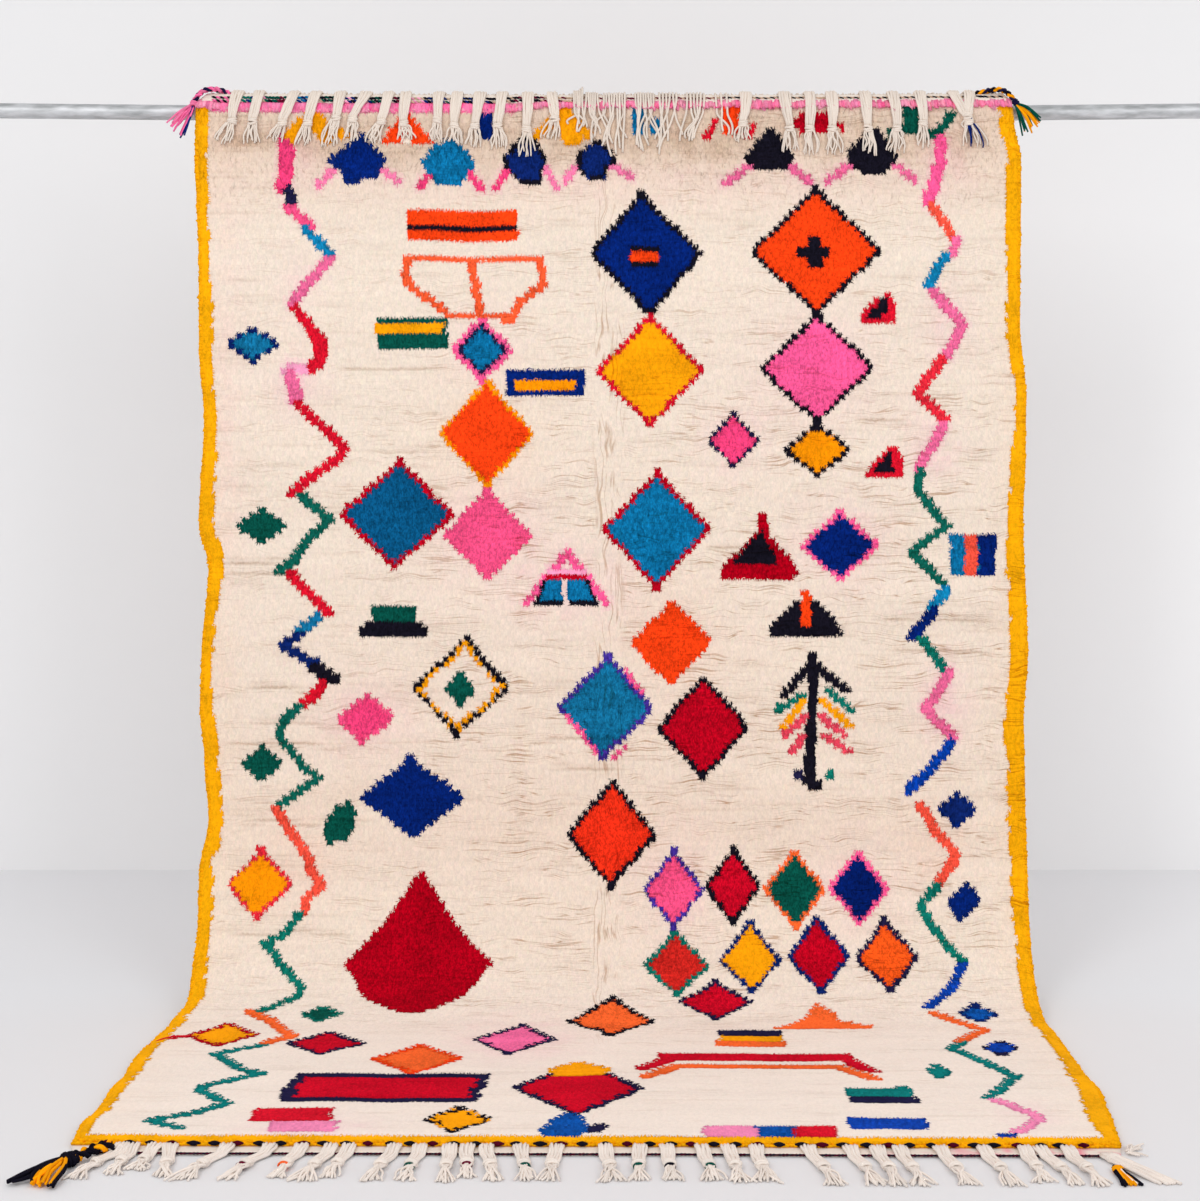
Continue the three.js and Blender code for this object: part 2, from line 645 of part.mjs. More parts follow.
function cornerTassel() {
  const { head, tipLeft, tipRight, endY, strands } = CORNER_TASSEL;
  const neck = head.y - head.length;
  const body = loft([
    flatRing(head.x, head.y, head.width * 0.6, head.height * 0.8),
    flatRing(head.x, mix(head.y, neck, 0.5), head.width, head.height),
    flatRing(head.x, neck, head.width * 1.1, head.height * 0.6),
  ]);
  const ends = steps(-0.5, 0.5, strands - 1).map((share, i) => floorStrand(
    new THREE.Vector2(head.x + share * (head.width - 3), neck + 4),
    new THREE.Vector2(mix(tipLeft, tipRight, share + 0.5), endY + (i % 2) * 5),
    FLOOR_STRAND_WIDTH,
    FLOOR_STRAND_HEIGHT * 1.2,
  ));
  return fuse([body, ...ends]);
}

// Everything above is laid out from a line a little in front of the middle of the part's box.
const MIDDLE_Y = 6;
const group = new THREE.Group();

function place(name, geometry, color, roughness, metalness = 0) {
  geometry.translate(0, -MIDDLE_Y, 0);
  const mesh = new THREE.Mesh(geometry, new THREE.MeshStandardMaterial({ color, roughness, metalness }));
  mesh.name = name;
  group.add(mesh);
}

place('rail', railGeometry(), COLOURS.steel, 0.42, 1);
place('rug', rugGeometry(), COLOURS.pile, 0.95);
place('fringe_top', fuse([topStrip(), ...TOP_STRAPS.flatMap(topStrap), ...LOOSE_ENDS.map(looseEnd)]), COLOURS.cotton, 0.9);
place('fringe_floor', fuse([floorStrip(), ...FLOOR_TASSELS.flatMap(floorTassel)]), COLOURS.cotton, 0.9);
for (const [name, spec] of Object.entries(PLAITS)) {
  place(name, plait(spec), spec.colour, 0.9);
}
place('bundle_floor_right', cornerBundle(), COLOURS.cotton, 0.9);
place('tassel_floor_right', cornerTassel(), COLOURS.gold, 0.9);

export default group;
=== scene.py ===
# Looks for an azilal rug that hangs from a rail and runs out over the floor.
# Metres. +X along the rail, -Y towards the viewer, +Z up, with the origin on the floor.
# A place on the rug is u, across from its middle line, and s, along the cloth from its top end. The functions take
# both in metres. The tables, and the functions that paint with them, have them in centimetres.

import bpy
import numpy as np
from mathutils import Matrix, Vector


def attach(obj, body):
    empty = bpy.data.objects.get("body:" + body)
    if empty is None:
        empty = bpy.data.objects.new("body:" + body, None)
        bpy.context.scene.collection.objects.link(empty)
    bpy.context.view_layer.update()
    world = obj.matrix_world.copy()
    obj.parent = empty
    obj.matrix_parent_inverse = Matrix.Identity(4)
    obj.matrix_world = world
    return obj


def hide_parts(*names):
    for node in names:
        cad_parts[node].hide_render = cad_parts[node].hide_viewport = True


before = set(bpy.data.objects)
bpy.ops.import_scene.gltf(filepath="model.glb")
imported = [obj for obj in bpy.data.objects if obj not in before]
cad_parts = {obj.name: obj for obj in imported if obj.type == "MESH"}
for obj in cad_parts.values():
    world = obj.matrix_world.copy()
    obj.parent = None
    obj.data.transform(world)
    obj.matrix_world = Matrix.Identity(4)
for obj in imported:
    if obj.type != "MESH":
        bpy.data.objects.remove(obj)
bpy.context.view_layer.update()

CM = 0.01
MM = 0.001
TURN = 2 * np.pi
RIGHT, FORWARD, UP = np.array([1.0, 0, 0]), np.array([0, -1.0, 0]), np.array([0, 0, 1.0])


def add_object(name, data):
    thing = bpy.data.objects.new(name, data)
    bpy.context.scene.collection.objects.link(thing)
    return thing


# ---- Camera ----
IMAGE_WIDTH = 1200
HORIZON_ABOVE_MIDDLE = 221.5  # image rows
CAMERA_PLACE = (-0.021, -3.624, 1.1905)

camera_data = bpy.data.cameras.new("camera")
camera_data.sensor_fit = "HORIZONTAL"
camera_data.sensor_width = 36.0
camera_data.lens = 63.0
camera_data.shift_y = -HORIZON_ABOVE_MIDDLE / IMAGE_WIDTH
camera_data.clip_end = 60
camera = add_object("camera", camera_data)
camera.location = CAMERA_PLACE
camera.rotation_euler = (np.pi / 2, 0, 0)
bpy.context.scene.camera = camera

# ---- Sizes of the cloth, as in the part's source ----
RAIL_LENGTH = 2.5
RAIL_RADIUS = 0.015
RAIL_HEIGHT = 1.711
RAIL_BOW = 0.008
RAIL_Y = 0.508
HALF_WIDTH = 0.8
WEAVE = 0.004
LOOP_RADIUS = 0.017
LOOP_DROP = 0.0014
LOOP_BACK = np.radians(60)
BEND_RADIUS = 0.305
FLOOR_RUN = 0.601
FLOOR_SKEW = -0.024
LOOP_LENGTH = LOOP_RADIUS * (LOOP_BACK + np.pi / 2)
HANG_TOP = RAIL_HEIGHT - LOOP_DROP
HANG_Y = RAIL_Y - LOOP_RADIUS
BEND_START = LOOP_LENGTH + HANG_TOP - BEND_RADIUS
FLOOR_START = BEND_START + BEND_RADIUS * np.pi / 2
RUG_LENGTH = FLOOR_START + FLOOR_RUN
FLOOR_Y = HANG_Y - BEND_RADIUS
WAVE_START = 0.16
WAVE_FULL = 0.33
BOTTOM_WEAVE = 0.027

# Distance down the cloth in cm, and how far each side stands out from its straight line in mm.
LEFT_SIDE = [
    (0, -4), (4, 12), (14, 14), (23, 10), (33, 6), (50, 6), (64, -4), (85, 6), (93, -13), (111, 1), (120, 4),
    (131, -5), (142, -13), (152, 1), (170, -9), (181, -16), (189, -1), (196, 6), (206, 17), (213, 17), (217, 12),
    (226, 19), (231.5, 14), (236, 16), (241, 24), (245, 21), (249, 17), (255.7, 4),
]
RIGHT_SIDE = [
    (0, -20), (6, -11), (14, 3), (46, 1), (60, 13), (71, 12), (83, 7), (110, 16), (123, 8), (138, 11),
    (152, 15), (185, 6), (198, 15), (215, 20), (225, 29), (235, 21), (244, 13), (255.7, -2),
]
FRONT_EDGE = [(-83, -17), (-60, -12), (0, -9), (50, -3), (79, -2)]

# Soft troughs of the hanging cloth: u, s, half width, half height in cm, and depth in mm.
TROUGHS = [
    (-56, 52, 24, 4, 6), (47, 64, 19, 6, 4), (-61, 85, 17, 5, 7), (56, 92, 15, 4.5, 6), (-11, 96, 16, 4, 4),
    (60, 107, 17, 4, 4), (-39, 121, 17, 4.5, 5), (33, 129, 26, 5, 5), (-65, 131, 14, 4, 5), (-48, 140, 18, 4, 6),
]
CREASE_U, CREASE_WIDTH, CREASE_HEIGHT = -0.010, 0.022, 0.0025


def smooth(value, low, high):
    t = np.clip((value - low) / (high - low), 0, 1)
    return t * t * (3 - 2 * t)


def together(*values):
    """Numbers and arrays as arrays of one shape."""
    return np.broadcast_arrays(*(np.asarray(value, float) for value in values))


def spaced(count):
    """The middles of equal shares of 1."""
    return (np.arange(count) + 0.5) / count


def table_at(rows, place):
    """The second column of a table at places along its first, eased between rows."""
    keys = np.array([row[0] for row in rows], float)
    values = np.array([row[1] for row in rows], float)
    i = np.clip(np.searchsorted(keys, place), 1, len(keys) - 1)
    return values[i - 1] + (values[i] - values[i - 1]) * smooth(place, keys[i - 1], keys[i])


def noise(x, y, seed):
    """Smooth noise from -1 to 1 with a cell of 1, the same on each run."""
    size = 256
    grid = np.random.default_rng(seed).uniform(-1, 1, (size, size))
    xi, yi = np.floor(x).astype(int), np.floor(y).astype(int)
    fx, fy = smooth(x - xi, 0, 1), smooth(y - yi, 0, 1)
    x0, x1, y0, y1 = xi % size, (xi + 1) % size, yi % size, (yi + 1) % size
    low = grid[x0, y0] * (1 - fx) + grid[x1, y0] * fx
    high = grid[x0, y1] * (1 - fx) + grid[x1, y1] * fx
    return low * (1 - fy) + high * fy


def side_out(s, right):
    """How far the side stands out at s, in metres."""
    return np.where(right, table_at(RIGHT_SIDE, s / CM), table_at(LEFT_SIDE, s / CM)) * MM


def bow(x):
    return RAIL_BOW * (x / (RAIL_LENGTH / 2)) ** 2


def ground(s):
    """Place, outward normal and downward run of the cloth's back at s, in the Y-Z plane."""
    s = np.asarray(s, float)
    a = s / LOOP_RADIUS - LOOP_BACK
    b = (s - BEND_START) / BEND_RADIUS
    loop, hang, bend = s < LOOP_LENGTH, s < BEND_START, s < FLOOR_START
    y = np.select(
        [loop, hang, bend],
        [HANG_Y + LOOP_RADIUS * (1 - np.sin(a)), HANG_Y, FLOOR_Y + BEND_RADIUS * np.cos(b)],
        FLOOR_Y - (s - FLOOR_START),
    )
    z = np.select(
        [loop, hang, bend],
        [HANG_TOP + LOOP_RADIUS * np.cos(a), HANG_TOP - (s - LOOP_LENGTH), BEND_RADIUS * (1 - np.sin(b))],
        0.0,
    )
    ny = np.select([loop, hang, bend], [-np.sin(a), -1.0, -np.cos(b)], 0.0)
    nz = np.select([loop, hang, bend], [np.cos(a), 0.0, np.sin(b)], 1.0)
    return y, z, ny, nz


def trough(u, s):
    """How far the cloth stands back from its plane."""
    total = 0
    for tu, ts, across, along, depth in TROUGHS:
        total = total + depth * MM * np.exp(-(((u / CM - tu) / across) ** 2) - ((s / CM - ts) / along) ** 2)
    return total * smooth(s, WAVE_START, WAVE_FULL) * (1 - smooth(s, BEND_START, FLOOR_START))


def crease(u, s):
    shown = smooth(s, WAVE_START, WAVE_FULL) * (1 - smooth(s, FLOOR_START, RUG_LENGTH - 0.06))
    return CREASE_HEIGHT * np.exp(-(((u - CREASE_U) / CREASE_WIDTH) ** 2)) * shown


def rug_point(u, s, lift):
    """Points of the rug from places across and along it in metres, and heights over its back."""
    u, s, lift = together(u, s, lift)
    x = u + FLOOR_SKEW * np.clip((s - BEND_START) / (RUG_LENGTH - BEND_START), 0, 1)
    y, z, ny, nz = ground(s)
    off = lift - trough(u, s)
    reach = table_at(FRONT_EDGE, x / CM) * MM * np.clip((s - FLOOR_START) / FLOOR_RUN, 0, 1)
    lifted = bow(x) * np.clip((z - BEND_RADIUS) / (RAIL_HEIGHT - BEND_RADIUS), 0, 1)
    return np.stack([x, y + ny * off - reach, z + nz * off + lifted], -1)


# ---- Colours ----
def linear(hex_colour):
    """Linear red, green and blue of a colour written as RRGGBB."""
    c = np.array([int(hex_colour[i : i + 2], 16) for i in (0, 2, 4)]) / 255
    return np.where(c <= 0.04045, c / 12.92, ((c + 0.055) / 1.055) ** 2.4)


HEX_COLOURS = {
    "cream": "F0E0D0", "browncream": "E8D1BE", "palecream": "F6E9DE", "border": "F9AE0A", "gold": "FDA50A",
    "amber": "FC9606", "crimson": "BC041F", "brightcrimson": "CC0826", "darkcrimson": "AC0018", "red": "D8142C",
    "lightred": "E22A3A", "brickred": "CF2620", "palered": "E2465C", "vermilion": "EE3218", "orangered": "FA4312",
    "orange": "FB6A30", "coral": "F55440", "hotpink": "FF5C9A", "rose": "F25084", "deeprose": "EF417A",
    "deepteal": "085482", "pink": "F770A6", "legpink": "F27CA8", "zigpink": "F16C9E", "darkroyal": "031D66",
    "brightorange": "FA5A1A", "bowlorange": "FA5E34", "palepink": "F9A2C6", "navy": "0C2468", "royal": "042270",
    "blue": "0D3FA6", "midblue": "063CA4", "tealblue": "0B6FA2", "brightteal": "1080B2", "skyblue": "126F9C",
    "green": "064F44", "zigzaggreen": "0E6456", "teal": "0D7466", "black": "15131F", "purple": "44309A",
    "maroon": "6B1030", "cotton": "ECDFD3", "floorcotton": "F3E8DF", "beige": "CAAE96", "inky": "1E1C40",
    "floorpink": "F78EBA", "floorteal": "087A78", "floorblue": "0A4FA4", "deepgreen": "075244",
}
WOOL = {name: linear(value) for name, value in HEX_COLOURS.items()}
DYES = list(WOOL)

# Lozenges: u, s, half width, half height, filling, edging and edging width. Some have two more: how the sides swell
# (1 is straight), and how far the top corner stands to the right and the bottom one to the left.
LOZENGES = [
    (6.8, 32.4, 10.7, 12.1, "royal", "black", 1.05, 1, -0.9), (40.1, 31.7, 12.5, 12.4, "orangered", "black", 1.05),
    (7.7, 55.0, 10.4, 10.8, "gold", "red", 1.05), (40.3, 54.6, 11, 10.7, "hotpink", "black", 1.05),
    (40.4, 70.5, 6.1, 4.9, "amber", "black", 1.05, 1.1, 0), (24, 68.6, 4.7, 5.4, "deeprose", "inky", 0.75),
    (-25.2, 51, 5.8, 6.4, "hotpink", "hotpink", 0), (-25.2, 51, 4.6, 5.1, "tealblue", "inky", 0.9),
    (-24.2, 67.4, 9.1, 10.4, "orangered", "amber", 0.7), (-24, 87.3, 8.4, 8.8, "rose", "rose", 0),
    (-41.8, 83.1, 11, 10.7, "deepteal", "crimson", 1.25, 1, 0.7), (9, 86, 10.3, 11.4, "tealblue", "crimson", 1.05),
    (-70, 50, 4.8, 3.3, "skyblue", "navy", 0.9), (-68.3, 85.5, 4.8, 3.4, "green", "green", 0),
    (44.8, 89.2, 7.5, 6.9, "royal", "hotpink", 1.05), (11.8, 108, 7.6, 8.2, "orangered", "orangered", 0),
    (-29.2, 117, 9.2, 9.6, "cream", "black", 1.2, 1, 1.1), (-29.4, 117.5, 2.9, 3.2, "green", "green", 0),
    (-47.9, 122.8, 5.3, 4.7, "deeprose", "rose", 1.2, 1.05, 0.5),
    (-1, 120.8, 9.2, 10.2, "skyblue", "purple", 1.05, 1, 0.4), (18, 124.8, 8.8, 10, "crimson", "black", 1.05),
    (-68.3, 131.8, 3.6, 3.2, "green", "green", 0, 1.2, 0), (-38.8, 138.5, 9.9, 7.8, "royal", "royal", 0, 1, -0.5),
    (0.2, 145.7, 8.6, 10.7, "vermilion", "black", 1.05), (-68.1, 155.7, 6.2, 7.0, "amber", "lightred", 0.9),
    (12.4, 156.6, 5.6, 7.9, "rose", "purple", 0.8), (24, 156.2, 5.3, 7.5, "brightcrimson", "black", 0.8),
    (36.1, 156.8, 5.7, 8, "green", "orange", 0.8), (48.4, 156.5, 5.6, 7.7, "darkroyal", "hotpink", 0.9),
    (13, 172.8, 5.9, 7.8, "brickred", "teal", 0.8), (27.1, 171.5, 5.7, 8.3, "gold", "navy", 0.8),
    (40.2, 170.8, 5.7, 9, "crimson", "navy", 0.8), (53.2, 171, 5.8, 8.6, "brightorange", "inky", 0.8),
    (67.5, 140.5, 3.4, 3.1, "navy", "royal", 0.5, 1.15, 0), (68.6, 159, 3.0, 4.2, "royal", "navy", 0.6, 1, 1),
    (1, 190.0, 7.7, 9.0, "orange", "black", 1.05, 0.95, 0),
    (20.3, 182.6, 6.7, 6.2, "brightcrimson", "inky", 0.9, 0.95, 0),
    (-52.5, 187, 3.3, 2.8, "green", "teal", 0.6, 1.1, 0), (-68.6, 197.8, 5.9, 6.6, "gold", "crimson", 1.05),
    (-49.5, 202.6, 6.6, 6.6, "brightcrimson", "inky", 1.05), (-15.9, 200.2, 6.9, 8.4, "pink", "inky", 1.05, 1, 0.8),
    (-32.4, 211.2, 7.5, 7.9, "orange", "orangered", 1.05), (-3.9, 226.3, 10.6, 13, "brightcrimson", "inky", 1.05),
    (-22.6, 241.4, 5.0, 5.8, "gold", "black", 1.05), (68.4, 187.0, 3.3, 3.2, "floorblue", "navy", 0.5, 1.1, 0),
    (69.6, 204.8, 2.7, 3.7, "midblue", "inky", 0.3, 1.1, 0.5),
    (57.0, 217.8, 1.7, 3.0, "floorteal", "floorteal", 0.5, 1.3, 0),
]

# Blocks: left, right, top, bottom and colour.
BLOCKS = [
    (-26.1, -23.1, 4.8, 10.2, "royal"), (22, 25.2, 3.9, 9.2, "orangered"), (4.4, 6.7, 3.5, 8.4, "tealblue"),
    (8.1, 9.8, 5.4, 8.4, "tealblue"), (57, 60.1, 3.9, 9, "deepgreen"), (3.8, 9.4, 30.6, 34.7, "black"),
    (3.8, 9.4, 31.6, 33.6, "orangered"), (38.4, 41.2, 29.3, 34.5, "black"), (36.7, 42.6, 30.9, 32.9, "black"),
    (-39.6, -18.3, 23.6, 29.6, "orangered"), (-39.2, -18.6, 26.8, 28, "black"), (-45.5, -32, 44.7, 50.9, "green"),
    (-46, -32.5, 46, 48, "gold"), (-20.1, -5.2, 55.2, 60, "royal"), (-18.7, -6.6, 56.9, 58.6, "amber"),
    (39.2, 41.1, 43.9, 44.9, "black"), (66.4, 75, 86.9, 95.1, "tealblue"), (69.0, 71.6, 86.9, 95.1, "coral"),
    (71.8, 75, 86.9, 95.1, "royal"), (-46.6, -38.2, 100.9, 104, "green"), (-48, -37, 104, 105, "black"),
    (-49.2, -35.9, 105, 106.9, "black"), (20.6, 31.2, 195.6, 198.6, "inky"), (20.9, 31.2, 198.4, 201.2, "gold"),
    (19.8, 31.8, 201.2, 204, "orange"), (-55.2, -43.2, 236, 242, "red"), (-51.6, -41.7, 242.6, 247, "floorpink"),
    (16.7, 24.6, 244.2, 249, "floorpink"), (24.6, 30.8, 244.4, 249, "floorblue"), (30.8, 36.8, 244.2, 248.8, "red"),
    (40.6, 50.8, 226, 230.4, "floorteal"), (49, 50.4, 225, 227, "floorteal"), (40.9, 51.6, 230.4, 233, "inky"),
    (39.7, 51.6, 240, 245.2, "blue"),
]

# Shapes with corners: colour and the corners in order.
SHAPES = [
    ("orangered", [(-39.8, 4.4), (-34.6, 10.6), (-44.8, 10.6)]),
    ("cream", [(-39.8, 7.8), (-38.8, 10.8), (-40.8, 10.8)]),
    ("red", [(54.2, 40), (55.5, 41.6), (55.5, 45.6), (48.8, 45.6), (49.1, 43.9), (52, 41)]),
    ("black", [(52.4, 41.4), (54, 41.2), (53.9, 43.8), (52.2, 44.6), (49.8, 44.7), (49.9, 43.6), (51.8, 43)]),
    ("red", [(54.2, 70), (55.3, 69.6), (56.8, 72), (57, 75.8), (55.6, 76.4), (50.2, 76.4), (50, 75), (52.3, 72.2)]),
    ("black", [(54.7, 70.8), (55.5, 74.9), (51.2, 74.9), (53, 72.4)]),
    ("darkcrimson", [(29, 83), (30.2, 83), (30.7, 87.4), (33.4, 90), (35.2, 92.4), (36.6, 94.6), (35.8, 95.5),
        (21.8, 95.5), (21.4, 93.8), (24.6, 91), (27.4, 88), (28.7, 86.6)]),
    ("black", [(29.2, 86.2), (30.4, 88.4), (32.0, 90.6), (32.4, 93), (23.7, 93), (25.2, 91), (27.9, 88.4)]),
    ("black", [(35.6, 100.2), (40.6, 100.2), (44, 103.6), (45.4, 107.4), (30.6, 107.4), (31.4, 104.8)]),
    ("orangered", [(37.4, 97.8), (38.8, 97.8), (39.4, 104.8), (37, 104.8)]),
    ("green", [(-51.2, 139.2), (-49.6, 141.6), (-51, 146.2), (-55, 148), (-55.8, 145), (-54.2, 140.6)]),
    ("orange", [(39.2, 183.4), (41.6, 186), (42.4, 189.6), (48.4, 192.6), (48, 194.6), (30, 194.4), (36, 189.4)]),
    ("darkcrimson", [(-36.9, 152.8), (-33.9, 157), (-28.2, 165.6), (-22.2, 172.2), (-27, 181.4), (-32, 185),
        (-36.4, 186.6), (-40.6, 184.6), (-45, 181.2), (-49.9, 172), (-44.2, 164.6), (-39.4, 157)]),
    ("inky", [(-51, 219), (-19.4, 219.2), (-20.6, 233.2), (-51.8, 233.2), (-52.6, 229), (-51.8, 224)]),
    ("brightcrimson", [(-49.6, 220.8), (-20.8, 221), (-21.8, 231.6), (-50.6, 231.6), (-50.4, 226)]),
    ("floorblue", [(-9.4, 246.2), (-7.6, 242.8), (-6.2, 239.4), (-4.4, 237.6), (-3, 240.4), (-1.3, 245),
        (-2.6, 247.6), (-5.6, 248.4), (-8.4, 247.8)]),
    ("inky", [(-1.5, 244.6), (0.9, 243.2), (0.7, 245.4), (-0.4, 247.4), (-1.7, 247.2)]),
    ("brightcrimson", [(10.2, 208.4), (42.2, 208.2), (43.8, 212.4), (46.9, 217.4), (46.2, 218.9), (42.6, 215.2),
        (41.2, 211.8), (12.2, 212.4), (8.4, 216.4), (5.4, 217.4), (6.2, 215.2), (9.2, 212.2)]),
    ("gold", [(-9, 216.6), (-4.4, 212.8), (1, 216.8), (0.4, 219.8), (-8.8, 219.8)]),
]

